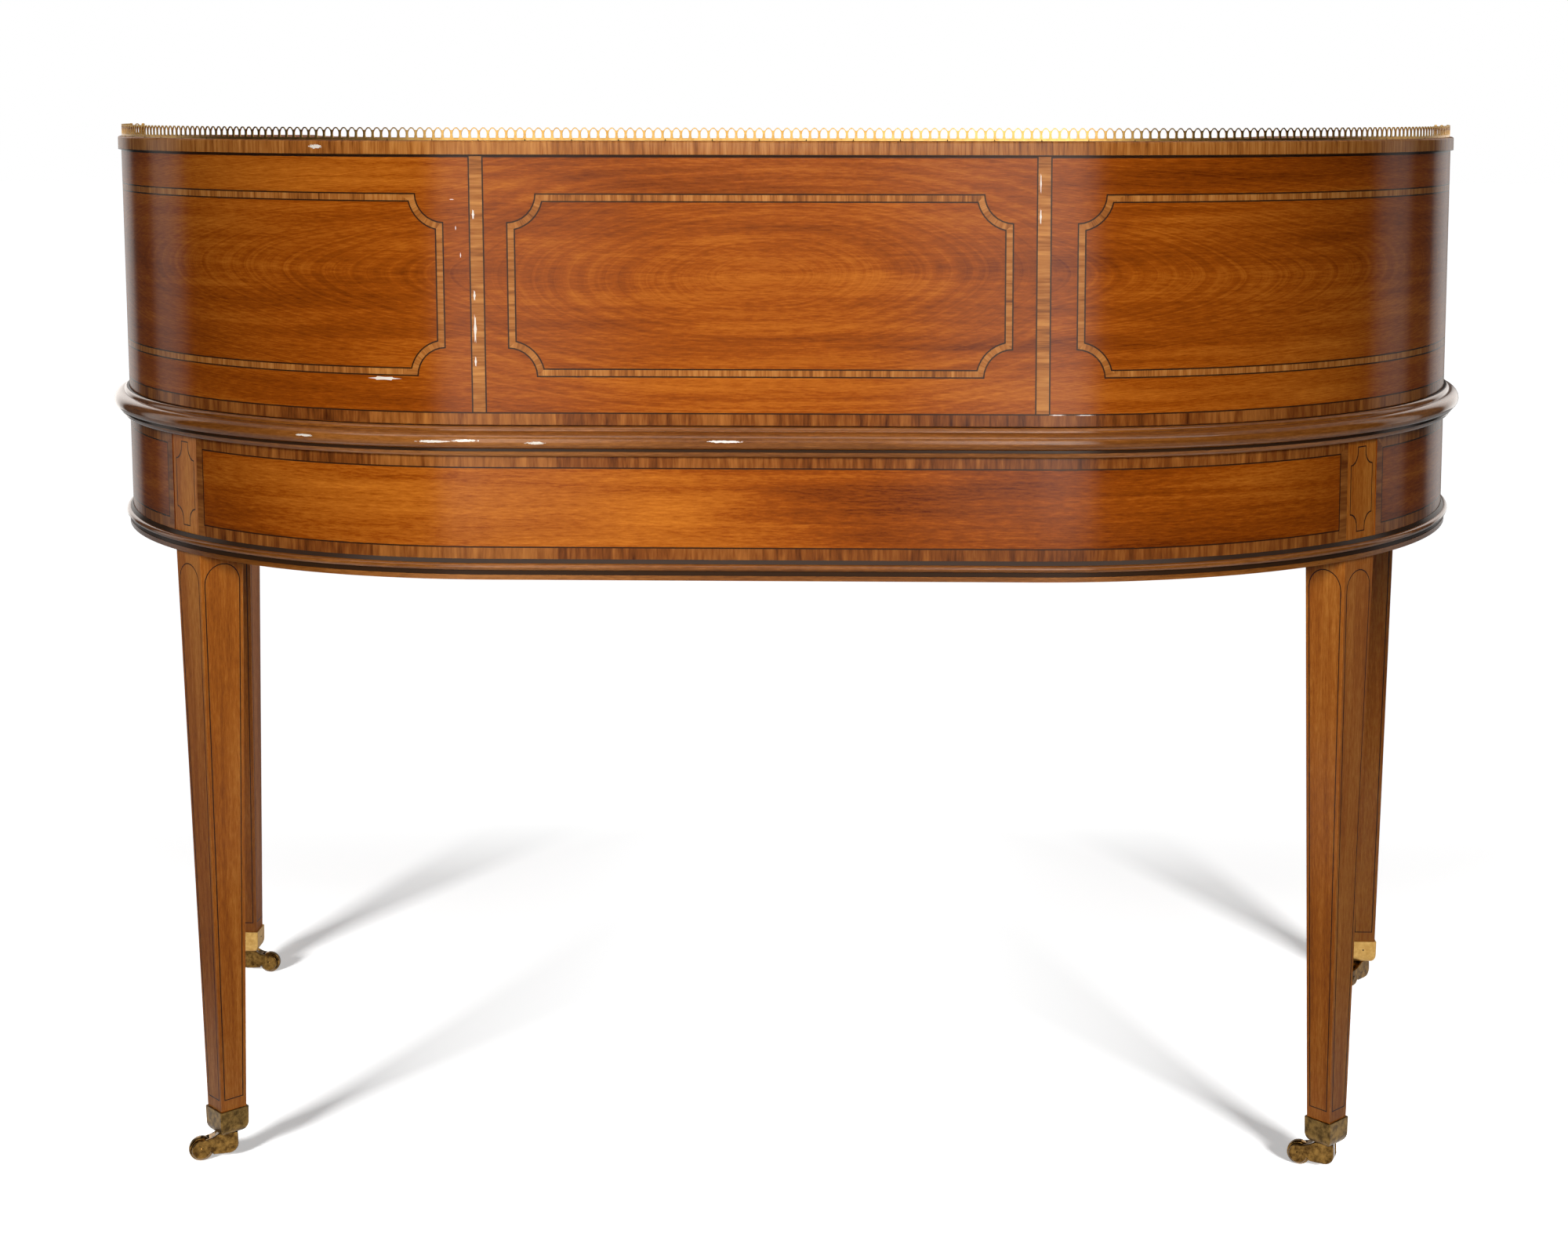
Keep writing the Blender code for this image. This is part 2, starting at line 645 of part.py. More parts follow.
# Superstructure
def make_superstructure(materials):
    wood = materials["satinwood"]
    wall = strip(0, -WALL_THICKNESS, front_y=ARM_FRONT_Y)
    place("superstructure_wall", ramped(wall), wood)
    make_top_board(materials)
    sides = strip(-WALL_THICKNESS - GAP, -SUPER_DEPTH,
                  lambda p: p[0] - BANK_HALF, lambda p: BANK_OUTER - p[0])
    for label, side in SIDES.items():
        place("bank_side_" + label, prism(mirrored(sides, side), WALL_Z, WALL_TOP), wood)
        make_arm(materials, label, side)
    make_bank_divider(materials)


def make_top_board(materials):
    """Top board with a rounded crossbanded edge that stands a little past the wall."""
    slices = []
    rounding = (0, 0, BOARD_ROUNDING)
    levels = (BOARD_Z, BOARD_TOP - BOARD_ROUNDING, BOARD_TOP)
    for inset, z in zip(rounding, levels):
        front = BOARD_FRONT_Y + inset
        outline = strip(BOARD_OVERHANG - inset, inset - SUPER_DEPTH - BOARD_OVERHANG,
                        lambda p: p[1] - front)
        slices.append([(p.x, p.y, z) for p in outline])
    place("top_board", loft(slices), materials["satinwood"])


def make_bank_divider(materials):
    """Cross-shaped divider of the bank: one shelf and one upright, front to back."""
    half = BANK_DIVIDER_THICKNESS / 2
    reach = BANK_HALF - GAP
    middle = (WALL_Z + WALL_TOP) / 2
    corner = [(reach, middle - half), (reach, middle + half), (half, middle + half), (half, WALL_TOP),
              (-half, WALL_TOP), (-half, middle + half), (-reach, middle + half), (-reach, middle - half),
              (-half, middle - half), (-half, WALL_Z), (half, WALL_Z), (half, middle - half)]
    back = BACK_Y - WALL_THICKNESS - SLIDE_CLEARANCE
    divider = loft([[(x, y, z) for x, z in corner] for y in (BACK_Y - SUPER_DEPTH, back)])
    place("bank_divider", divider, materials["satinwood"])


def make_arm(materials, label, side):
    """Inner wall, head, floor, lid and drawer of one arm."""
    wood = materials["satinwood"]
    inner = strip(ARM_WALL_THICKNESS - SUPER_DEPTH, -SUPER_DEPTH, lambda p: p[0],
                  lambda p: HEAD_BACK_Y - p[1], front_y=ARM_FRONT_Y)
    place("arm_inner_wall_" + label, ramped(mirrored(inner, side)), wood)
    between = (-WALL_THICKNESS - GAP, ARM_WALL_THICKNESS - SUPER_DEPTH + GAP)
    place("arm_head_" + label, arm_head(between, side), wood)
    place("arm_floor_" + label, arm_floor(between, side), wood)
    make_lid(materials, label, side)
    make_arm_drawer(materials, label, side)


def arm_head(between, side):
    """Partition at the front of the high part, with a hollow nose that carries the lid."""
    plan = strip(*between, lambda p: p[0], lambda p: HEAD_BACK_Y - p[1], lambda p: p[1] - NOSE_Y)
    sweep = [p for p in ramp_line() if HIGH_Y >= p[0] >= NOSE_Y]
    nose_low = NOSE_Z - HEAD_NOSE_HEIGHT
    profile = [(HEAD_BACK_Y + OVERRUN, WALL_TOP)] + sweep
    profile[-1] = (NOSE_Y - OVERRUN, NOSE_Z)
    profile += [(NOSE_Y - OVERRUN, nose_low), (HIGH_Y, nose_low), (HIGH_Y, WALL_Z),
                (HEAD_BACK_Y + OVERRUN, WALL_Z)]
    reach = HALF_WIDTH + OVERRUN
    cutter = side_prism(profile, -reach, reach)
    body = prism(mirrored(plan, side), WALL_Z - OVERRUN, WALL_TOP + OVERRUN)
    return combined(body, cutter, "INTERSECT")


def arm_floor(between, side):
    """Floor of the lidded compartment, with the fixed block that ends the arm in front."""
    plan = strip(*between, lambda p: p[0], lambda p: HIGH_Y - GAP - p[1], front_y=ARM_FRONT_Y)
    block_back = SLOPE_END_Y - LID_END_CLEARANCE
    top = ARM_FLOOR_Z + ARM_FLOOR_THICKNESS
    profile = [(HIGH_Y + OVERRUN, ARM_FLOOR_Z), (HIGH_Y + OVERRUN, top), (block_back, top),
               (block_back, ARM_Z), (ARM_FRONT_Y - OVERRUN, ARM_Z), (ARM_FRONT_Y - OVERRUN, ARM_FLOOR_Z)]
    reach = HALF_WIDTH + OVERRUN
    body = prism(mirrored(plan, side), WALL_Z, WALL_TOP)
    return combined(body, side_prism(profile, -reach, reach), "INTERSECT")


def make_lid(materials, label, side):
    """Sloping lid, hinged on the upper edge of its back end."""
    back_y = NOSE_Y - LID_END_CLEARANCE
    back_z = NOSE_Z - LID_END_CLEARANCE * math.tan(SLOPE_ANGLE)
    upright = LID_THICKNESS / math.cos(SLOPE_ANGLE)
    profile = [(back_y, back_z), (SLOPE_END_Y, ARM_Z),
               (SLOPE_END_Y + LID_THICKNESS * math.sin(SLOPE_ANGLE),
                ARM_Z - LID_THICKNESS * math.cos(SLOPE_ANGLE)),
               (back_y, back_z - upright)]
    edges = (side * (ARM_INNER_X + SLIDE_CLEARANCE), side * (ARM_OUTER_X - SLIDE_CLEARANCE))
    lid = side_prism(profile, *edges)
    middle_x = side * (ARM_INNER_X + ARM_OUTER_X) / 2
    seat = (middle_x, SLOPE_END_Y + LID_KNOB_INSET * math.cos(SLOPE_ANGLE),
            ARM_Z + LID_KNOB_INSET * math.sin(SLOPE_ANGLE))
    lid = combined(lid, knob(seat, (0, -math.sin(SLOPE_ANGLE), math.cos(SLOPE_ANGLE))), "UNION")
    place("arm_lid_" + label, lid, materials["satinwood"], origin=(middle_x, back_y, back_z))


def make_doors(materials):
    """Bowed cupboard doors, hinged at the arm; the free edge is bevelled to swing clear."""
    hinge_limit = HEAD_BACK_Y + DOOR_CLEARANCE
    face = rim_line(-SUPER_DEPTH)
    rear = rim_line(DOOR_THICKNESS - SUPER_DEPTH)
    for limit in (lambda p: p[0] - BANK_OUTER - DOOR_CLEARANCE, lambda p: p[1] - hinge_limit):
        face = keep_part(face, limit)
        rear = keep_part(rear, limit)
    hinge, free = face[0], face[-1]
    swing = (free - hinge).length
    rear = keep_part(rear, lambda p: swing - (p - hinge).length)
    ray = Vector((math.sin(DOOR_KNOB_ANGLE), math.cos(DOOR_KNOB_ANGLE)))
    spot = Vector((STRAIGHT_HALF, CENTRE_Y)) + (CORNER_RADIUS - SUPER_DEPTH) * ray
    middle_z = (TABLE_Z + WALL_TOP) / 2
    for label, side in SIDES.items():
        outline = mirrored(face + rear[::-1], side)
        door = prism(outline, TABLE_Z + DOOR_CLEARANCE, BOARD_Z - DOOR_CLEARANCE)
        pull = knob((side * spot.x, spot.y, middle_z), (-side * ray.x, -ray.y, 0))
        place("cupboard_door_" + label, combined(door, pull, "UNION"), materials["satinwood"],
              origin=(side * hinge.x, hinge.y, middle_z))


# Brass gallery
def gallery_path():
    """Points one pitch apart on the gallery's line, with a short return inwards at each end."""
    radius = CORNER_RADIUS - GALLERY_SETBACK
    end_y = BOARD_FRONT_Y + GALLERY_END_SETBACK
    flank = max(0, CENTRE_Y - end_y)
    start = math.asin(max(0, end_y - CENTRE_Y) / radius)
    bend = radius * (math.pi / 2 - start)
    half_length = flank + bend + STRAIGHT_HALF
    cells = round(half_length / GALLERY_PITCH)
    right = []
    for cell in range(cells + 1):
        way = half_length * cell / cells
        if way < flank:
            right.append(Vector((STRAIGHT_HALF + radius, end_y + way)))
        elif way < flank + bend:
            angle = start + (way - flank) / radius
            right.append(Vector((STRAIGHT_HALF + radius * math.cos(angle),
                                 CENTRE_Y + radius * math.sin(angle))))
        else:
            right.append(Vector((half_length - way, CENTRE_Y + radius)))
    right.insert(0, right[0] - Vector((GALLERY_RETURN, 0)))
    return right + [Vector((-p.x, p.y)) for p in reversed(right[:-1])]


def mitre_normals(path):
    """Outward normals at the points of a path, lengthened at corners as a mitre is."""
    sides = []
    for here, after in zip(path, path[1:]):
        along = (after - here).normalized()
        sides.append(Vector((along.y, -along.x)))
    normals = [sides[0]]
    for before, after in zip(sides, sides[1:]):
        normals.append((before + after) / (1 + before.dot(after)))
    return normals + [sides[-1]]


def make_gallery(materials):
    """Pierced arcade: a low rail, thin posts and pointed arches, all in one strip."""
    path = gallery_path()
    normals = mitre_normals(path)
    base_z = BOARD_TOP + GAP
    half = GALLERY_THICKNESS / 2
    shape = bmesh.new()

    def vert(index, share, face, height):
        """Vertex on one face of the strip, part of the way along a cell."""
        spots = [path[i] + face * half * normals[i] for i in (index, min(index + 1, len(path) - 1))]
        spot = spots[0].lerp(spots[1], share)
        return shape.verts.new((spot.x, spot.y, base_z + height))

    posts = [[[vert(i, 0, face, height) for height in (0, GALLERY_VALLEY)] for face in (1, -1)]
             for i in range(len(path))]
    for i in range(len(path) - 1):
        here, after = posts[i], posts[i + 1]
        shape.faces.new((here[0][0], after[0][0], after[1][0], here[1][0]))
        if i in (0, len(path) - 2):
            shape.faces.new((here[0][1], after[0][1], after[1][1], here[1][1]))
            for face in (0, 1):
                shape.faces.new((here[face][0], after[face][0], after[face][1], here[face][1]))
            continue
        share = GALLERY_POST / 2 / (path[i + 1] - path[i]).length
        spots = [(share, GALLERY_RAIL), (1 - share, GALLERY_RAIL), (1 - share, GALLERY_SPRING),
                 (0.5, GALLERY_CROWN), (share, GALLERY_SPRING)]
        holes = []
        rims = []
        for face in (0, 1):
            sign = 1 - 2 * face
            hole = [vert(i, along, sign, height) for along, height in spots]
            crown = vert(i, 0.5, sign, GALLERY_HEIGHT)
            rim = [here[face][0], after[face][0], after[face][1], crown, here[face][1]]
            for k in range(len(rim)):
                n = (k + 1) % len(rim)
                shape.faces.new((rim[k], rim[n], hole[n], hole[k]))
            holes.append(hole)
            rims.append(rim)
        for k in range(len(spots)):
            n = (k + 1) % len(spots)
            shape.faces.new((holes[0][k], holes[0][n], holes[1][n], holes[1][k]))
        for k in (2, 3):
            shape.faces.new((rims[0][k], rims[0][k + 1], rims[1][k + 1], rims[1][k]))
    for post in (posts[0], posts[-1]):
        shape.faces.new((post[0][0], post[0][1], post[1][1], post[1][0]))
    place("brass_gallery", shape, materials["brass"])


# Drawers
def tray(x_range, y_range, z_range, front, side, bottom):
    """Open drawer with a full-height front and lower sides and back."""
    x0, x1 = x_range
    y0, y1 = y_range
    z0, z1 = z_range
    body = block(x_range, y_range, z_range)
    cavity = block((x0 + side, x1 - side), (y0 + front, y1 - side), (z0 + bottom, z1 + OVERRUN))
    body = combined(body, cavity, "DIFFERENCE")
    lowered = block((x0 - OVERRUN, x1 + OVERRUN), (y0 + front, y1 + OVERRUN),
                    (z1 - SIDE_DROP, z1 + OVERRUN))
    return combined(body, lowered, "DIFFERENCE")


def small_drawer(name, x_range, y_range, z_range, materials):
    """Small drawer with a turned knob on the middle of its front."""
    body = tray(x_range, y_range, z_range, SMALL_DRAWER_FRONT, SMALL_DRAWER_SIDE, SMALL_DRAWER_BOTTOM)
    middle = (sum(x_range) / 2, y_range[0], sum(z_range) / 2)
    body = combined(body, knob(middle, (0, -1, 0)), "UNION")
    return place(name, body, materials["satinwood"], origin=middle)


def make_arm_drawer(materials, label, side):
    x_range = sorted((side * (ARM_INNER_X + SLIDE_CLEARANCE), side * (ARM_OUTER_X - SLIDE_CLEARANCE)))
    y_range = (ARM_FRONT_Y, HIGH_Y - ARM_DRAWER_ROOM)
    z_range = (WALL_Z, ARM_FLOOR_Z - SLIDE_CLEARANCE)
    small_drawer("arm_drawer_" + label, x_range, y_range, z_range, materials)


def make_bank_drawers(materials):
    """Two tiers of two small drawers."""
    half = BANK_DIVIDER_THICKNESS / 2
    middle = (WALL_Z + WALL_TOP) / 2
    tiers = {"lower": (WALL_Z, middle - half - SLIDE_CLEARANCE),
             "upper": (middle + half + GAP, WALL_TOP - SLIDE_CLEARANCE)}
    y_range = (BACK_Y - SUPER_DEPTH, BACK_Y - WALL_THICKNESS - BANK_DRAWER_ROOM)
    for label, side in SIDES.items():
        x_range = sorted((side * (half + SLIDE_CLEARANCE), side * (BANK_HALF - SLIDE_CLEARANCE)))
        for tier, z_range in tiers.items():
            small_drawer("bank_drawer_" + tier + "_" + label, x_range, y_range, z_range, materials)


def make_frieze_drawers(materials):
    """Three frieze drawers: a wide one in the middle with two handles, and one at each side."""
    z_range = (DRAWER_Z, DRAWER_TOP)
    centre_half = STRAIGHT_HALF - SLIDE_CLEARANCE
    centre_back = BACK_Y - RAIL_THICKNESS - CENTRE_DRAWER_ROOM
    drawer = frieze_drawer("centre_drawer", (-centre_half, centre_half), (FRONT_Y, centre_back), z_range,
                           materials)
    for label, side in SIDES.items():
        make_handle("centre_" + label, side * centre_half / 2, drawer, materials)
    inner = STRAIGHT_HALF + GUIDE_THICKNESS + SLIDE_CLEARANCE
    outer = HALF_WIDTH - LEG_WIDTH - SLIDE_CLEARANCE
    rail_radius = CORNER_RADIUS - RAIL_THICKNESS
    side_back = CENTRE_Y + math.sqrt(rail_radius ** 2 - (outer - STRAIGHT_HALF) ** 2) - SIDE_DRAWER_ROOM
    for label, side in SIDES.items():
        x_range = sorted((side * inner, side * outer))
        drawer = frieze_drawer(label + "_drawer", x_range, (FRONT_Y, side_back), z_range, materials)
        make_handle(label, sum(x_range) / 2, drawer, materials)


def frieze_drawer(name, x_range, y_range, z_range, materials):
    body = tray(x_range, y_range, z_range, DRAWER_FRONT, DRAWER_SIDE, DRAWER_BOTTOM)
    middle = (sum(x_range) / 2, y_range[0], sum(z_range) / 2)
    return place(name, body, materials["satinwood"], origin=middle)


# Bail handles
def plate_solid(centre_x, face_y, z):
    """Oval plate with two posts, each bored for the end of the bail."""
    outline = []
    for step in range(PLATE_STEPS):
        angle = 2 * math.pi * step / PLATE_STEPS
        outline.append((centre_x + PLATE_LENGTH / 2 * math.cos(angle),
                        z + PLATE_HEIGHT / 2 * math.sin(angle)))
    front_y = face_y - PLATE_THICKNESS
    plate = loft([[(x, y, height) for x, height in outline] for y in (face_y, front_y)])
    root_y = face_y - PLATE_THICKNESS / 2
    end_y = front_y - POST_LENGTH
    axis_y = end_y + POST_RADIUS
    for side in SIDES.values():
        x = centre_x + side * POST_SPACING / 2
        plate = combined(plate, rod(POST_RADIUS, (x, root_y, z), (x, end_y, z), POST_STEPS), "UNION")
    bore = rod(BAIL_RADIUS + BAIL_PLAY, (centre_x - POST_SPACING, axis_y, z),
               (centre_x + POST_SPACING, axis_y, z), POST_STEPS)
    return combined(plate, bore, "DIFFERENCE"), axis_y


def bail_path():
    """Line of a bail about its axis: an end in one post, out, down, across and up again."""
    end = POST_SPACING / 2
    out = end + POST_RADIUS + BAIL_SHOULDER
    path = [(-end, 0), (-out, 0)]
    for step in range(1, BAIL_POINTS + 1):
        angle = math.pi * step / (BAIL_POINTS + 1)
        path.append((-out * math.cos(angle), -BAIL_DROP * math.sin(angle)))
    return path + [(out, 0), (end, 0)]


def make_handle(label, centre_x, drawer, materials):
    """Plate fixed to a drawer front and the bail that swings on it."""
    z = (DRAWER_Z + DRAWER_TOP) / 2
    face_y = FRONT_Y - GAP
    plate, axis_y = plate_solid(centre_x, face_y, z)
    place("handle_plate_" + label, plate, materials["brass"], origin=(centre_x, face_y, z), parent=drawer)
    curve = bpy.data.curves.new("handle_bail_" + label, "CURVE")
    curve.dimensions = "3D"
    curve.bevel_depth = BAIL_RADIUS
    curve.bevel_resolution = 1
    curve.use_fill_caps = True
    path = bail_path()
    spline = curve.splines.new("POLY")
    spline.points.add(len(path) - 1)
    for point, (x, drop) in zip(spline.points, path):
        point.co = (x, 0, drop, 1)
    curve.materials.append(materials["brass"])
    bail = bpy.data.objects.new("handle_bail_" + label, curve)
    bpy.context.collection.objects.link(bail)
    bail.parent = drawer
    bail.location = Vector((centre_x, axis_y, z)) - drawer.location


def build():
    for old in list(bpy.data.objects):
        bpy.data.objects.remove(old)
    materials = make_materials()
    make_legs(materials)
    make_carcase(materials)
    make_table_top(materials)
    make_superstructure(materials)
    make_doors(materials)
    make_gallery(materials)
    make_bank_drawers(materials)
    make_frieze_drawers(materials)


build()
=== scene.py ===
# %% [markdown]
# # A writing desk with a curved superstructure
# The desk stands on four tapered legs. Its plan is a D: straight towards the sitter and round
# at the back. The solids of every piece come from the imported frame, so this lesson keeps their
# sizes and gives them what solids lack: veneers, inlaid lines, polish, brass and light.

import math

import bmesh
import bpy
import numpy as np
from mathutils import Matrix, Vector
from mathutils.geometry import delaunay_2d_cdt


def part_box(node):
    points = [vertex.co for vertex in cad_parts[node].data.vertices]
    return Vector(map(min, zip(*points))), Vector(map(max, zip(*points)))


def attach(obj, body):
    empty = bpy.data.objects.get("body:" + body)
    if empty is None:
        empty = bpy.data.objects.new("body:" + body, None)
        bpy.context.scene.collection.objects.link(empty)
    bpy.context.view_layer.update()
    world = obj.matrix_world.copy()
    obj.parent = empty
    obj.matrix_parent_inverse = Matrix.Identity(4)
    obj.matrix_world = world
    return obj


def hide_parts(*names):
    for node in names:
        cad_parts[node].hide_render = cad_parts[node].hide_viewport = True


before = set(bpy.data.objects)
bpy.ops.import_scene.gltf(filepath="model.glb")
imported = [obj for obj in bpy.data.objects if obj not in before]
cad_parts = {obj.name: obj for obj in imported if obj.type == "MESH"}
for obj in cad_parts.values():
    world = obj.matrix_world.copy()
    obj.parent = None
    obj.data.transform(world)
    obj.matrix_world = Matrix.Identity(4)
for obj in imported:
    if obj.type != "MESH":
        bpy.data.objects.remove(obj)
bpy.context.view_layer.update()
SIDES = {"left": -1, "right": 1}
UP, TOWARDS_SITTER = Vector((0, 0, 1)), Vector((0, -1, 0))

# %% [markdown]
# The back of the desk is one long curve, so most veneers are easier to draw flat and then wrap.
# The flat drawing has the way round the rim as its first number and the height as its second.
# `rim` turns the way round into a place in plan, and tells which way the surface looks.

# %% The D line in plan
HALF_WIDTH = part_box("superstructure_wall")[1].x
BACK_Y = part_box("superstructure_wall")[1].y
FRONT_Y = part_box("table_top")[0].y
CORNER_RADIUS = 0.445
STRAIGHT_HALF = HALF_WIDTH - CORNER_RADIUS
CENTRE_Y = BACK_Y - CORNER_RADIUS
BEND = CORNER_RADIUS * math.pi / 2
FLANK = STRAIGHT_HALF + BEND
BEND_STEP = math.radians(2.5)


def rim(way, out=0.0):
    """Place and outward direction at a way round the D from the middle of its back."""
    side = -1 if way < 0 else 1
    far = abs(way)
    angle = min(max(0.0, (far - STRAIGHT_HALF) / CORNER_RADIUS), math.pi / 2)
    look = Vector((side * math.sin(angle), math.cos(angle), 0))
    reach = CORNER_RADIUS + out
    x = min(far, STRAIGHT_HALF) + reach * math.sin(angle)
    y = CENTRE_Y + reach * math.cos(angle) - max(0.0, far - FLANK)
    return Vector((side * x, y, 0)), look


def bends(low, high):
    """Ways between low and high where a wrapped sheet needs a fold."""
    steps = range(round(math.pi / 2 / BEND_STEP) + 1)
    ways = [side * (STRAIGHT_HALF + step * BEND_STEP * CORNER_RADIUS) for side in (-1, 1) for step in steps]
    return [way for way in ways if low < way < high]


def whole_round(front_y):
    """Ways from the right front corner round the back to the left one."""
    half = [FLANK + CENTRE_Y - front_y, *reversed(bends(0, FLANK + 1e-6))]
    return half + [-way for way in reversed(half)]


def mirrored(points):
    """Points of a half outline, followed by their mirror images in reverse."""
    return [*points, *[(-x, z) for x, z in reversed(points)]]


def middle_of(node):
    low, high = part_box(node)
    return (low + high) / 2


def placed(name, data):
    """New object that holds the data, in the scene."""
    item = bpy.data.objects.new(name, data)
    bpy.context.scene.collection.objects.link(item)
    return item


print("the rim runs", round(2 * (FLANK + CENTRE_Y - FRONT_Y), 3), "m round from corner to corner")

# %% [markdown]
# Polish shows every wrong normal. The bench below gathers faces with the exact direction each
# corner should look in, its place along and across the grain, and the name of its finish. It
# joins corners that meet, turns every face outwards and makes one plain closed mesh of it all.

# %% The bench that gathers faces
FINISHES = {}
GRID = 1e6


class Bench:
    """Faces of one piece, gathered before they become a mesh."""

    def __init__(self):
        self.points, self.known = [], {}
        self.faces, self.looks, self.grain, self.finish = [], [], [], []

    def corner(self, point):
        key = tuple(round(value * GRID) for value in point)
        if key not in self.known:
            self.known[key] = len(self.points)
            self.points.append(Vector(point))
        return self.known[key]

    def face(self, points, looks, grain, finish):
        """Add a face; looks holds one direction for each corner."""
        loop = [self.corner(point) for point in points]
        kept = [i for i, index in enumerate(loop) if index != loop[i - 1]]
        if len(kept) < 3:
            return
        flat = sum((points[kept[i - 1]].cross(points[k]) for i, k in enumerate(kept)), Vector())
        if flat.dot(sum((looks[k] for k in kept), Vector())) < 0:
            kept.reverse()
        self.faces.append([loop[k] for k in kept])
        self.looks += [looks[k] for k in kept]
        self.grain += [grain[k] for k in kept]
        self.finish.append(finish)

    def flat(self, points, towards, grain, finish):
        """Add a face that looks straight out, on the side that towards names."""
        points = [Vector(point) for point in points]
        look = sum((here.cross(after) for here, after in zip(points, points[1:] + points[:1])), Vector())
        if not look.length:
            return
        look.normalize()
        if look.dot(towards) < 0:
            look = -look
        self.face(points, [look] * len(points), grain or [(0, 0)] * len(points), finish)

    def loft(self, stations, sides, corner, finish_at):
        """Faces between stations; corner(station, side, end) gives a place, a look and the grain."""
        for a, b in zip(stations, stations[1:]):
            for k in sides:
                made = (corner(a, k, 0), corner(b, k, 0), corner(b, k, 1), corner(a, k, 1))
                self.face(*zip(*made), finish_at(k))

    def piece(self, name, body, *replaced, slot=None):
        """Turn what was gathered into a piece that rides on a body."""
        mesh = bpy.data.meshes.new(name)
        mesh.from_pydata(self.points, [], self.faces)
        names = sorted(set(self.finish))
        for finish in names:
            mesh.materials.append(FINISHES[finish])
        mesh.polygons.foreach_set("material_index", [names.index(finish) for finish in self.finish])
        layer = mesh.uv_layers.new(name="grain")
        layer.data.foreach_set("uv", [value for pair in self.grain for value in pair])
        mesh.shade_smooth()
        mesh.normals_split_custom_set([tuple(look) for look in self.looks])
        item = placed(name, mesh)
        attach(item, body)
        if replaced:
            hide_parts(*replaced)
        print(name, "has", len(mesh.polygons), "faces")


# %% [markdown]
# A veneered panel is a jigsaw: fields, bands and thin dark lines lie flush in one surface. The
# regions are painted one over another on a flat drawing. A constrained triangulation keeps all
# their edges, each triangle takes the last region it lies in, and the sheet is then wrapped and
# given its thickness. Real inlay has no steps, so this matches it better than stacked strips.

# %% Cutting a flat drawing
def inside(outline, spots):
    """Which of the spots lie inside a closed outline."""
    x, y = spots.T
    hit = np.zeros(len(spots), bool)
    ring = np.array([tuple(point) for point in outline])
    with np.errstate(divide="ignore", invalid="ignore"):
        for (x0, y0), (x1, y1) in zip(ring, np.roll(ring, -1, 0)):
            hit ^= ((y0 > y) != (y1 > y)) & (x < (x1 - x0) * (y - y0) / (y1 - y0) + x0)
    return hit


def cut_drawing(regions, folds=()):
    """Spots and triangles of a drawing, and the region that shows on each triangle."""
    spots, edges = [], []
    for outline, *_ in regions:
        first, count = len(spots), len(outline)
        spots += [Vector(point) for point in outline]
        edges += [(first + i, first + (i + 1) % count) for i in range(count)]
    low, high = min(spot.y for spot in spots), max(spot.y for spot in spots)
    for fold in folds:
        spots += [Vector((fold, low)), Vector((fold, high))]
        edges.append((len(spots) - 2, len(spots) - 1))
    spots, _, triangles, *_ = delaunay_2d_cdt(spots, edges, [], 0, 1e-7)
    grid = np.array([tuple(spot) for spot in spots])
    middles = grid[np.array([list(t) for t in triangles])].mean(axis=1)
    shown = np.full(len(triangles), -1)
    inside_all = inside(regions[0][0], middles)
    for number, (outline, *_) in enumerate(regions):
        shown[inside(outline, middles) & inside_all] = number
    keep = [k for k in range(len(triangles)) if shown[k] >= 0 and regions[shown[k]][1]]
    return spots, [triangles[k] for k in keep], shown[keep], middles[keep]


def inlay(bench, regions, lay, depth, folds=(), back=None):
    """Wrap a drawing with lay(u, v, depth) and give it its thickness."""
    spots, triangles, shown, middles = cut_drawing(regions, folds)
    skin = [lay(spot.x, spot.y, 0.0) for spot in spots]
    under = [lay(spot.x, spot.y, depth) for spot in spots]
    borders = {}
    for triangle, number, middle in zip(triangles, shown, middles):
        finish, grain = regions[number][1:]
        grain = [grain(spots[i].x, spots[i].y, middle) for i in triangle]
        bench.face(*zip(*[skin[i] for i in triangle]), grain, finish)
        bench.face([under[i][0] for i in triangle], [-under[i][1] for i in triangle], grain, back or finish)
        for a, b, c in zip(triangle, triangle[1:] + triangle[:1], triangle[2:] + triangle[:2]):
            borders.setdefault((min(a, b), max(a, b)), []).append((c, finish, *grain[0]))
    for (a, b), users in borders.items():
        if len(users) == 1:
            c, finish, u, v = users[0]
            away = (skin[a][0] + skin[b][0]) / 2 - skin[c][0]
            step = (skin[a][0] - skin[b][0]).length
            grain = [(u, v), (u + step, v), (u + step, v + depth), (u, v + depth)]
            bench.flat([skin[a][0], skin[b][0], under[b][0], under[a][0]], away, grain, back or finish)


SQUARE = [(0, 0), (1, 0), (1, 1), (0, 1)]
print("a plain square is cut into", len(cut_drawing([(SQUARE, "plain")])[1]), "triangles")

# %% [markdown]
# Most regions are rectangles, rectangles with hollow corners, or one of them moved inwards. The
# grain of a region is a small function too: `along` runs it with the drawing, `upright` turns
# it, and `framed` turns it on every side of a panel so that it always crosses the band.

# %% Outlines and grain of panels
BAND, STRING, FRONT_BAND = 0.008, 0.0013, 0.0070


def along(u, v, middle):
    return (u, v)


def upright(u, v, middle):
    return (v, u)


def rectangle(left, right, low, high, inset=0.0):
    return [(left + inset, low + inset), (right - inset, low + inset),
            (right - inset, high - inset), (left + inset, high - inset)]


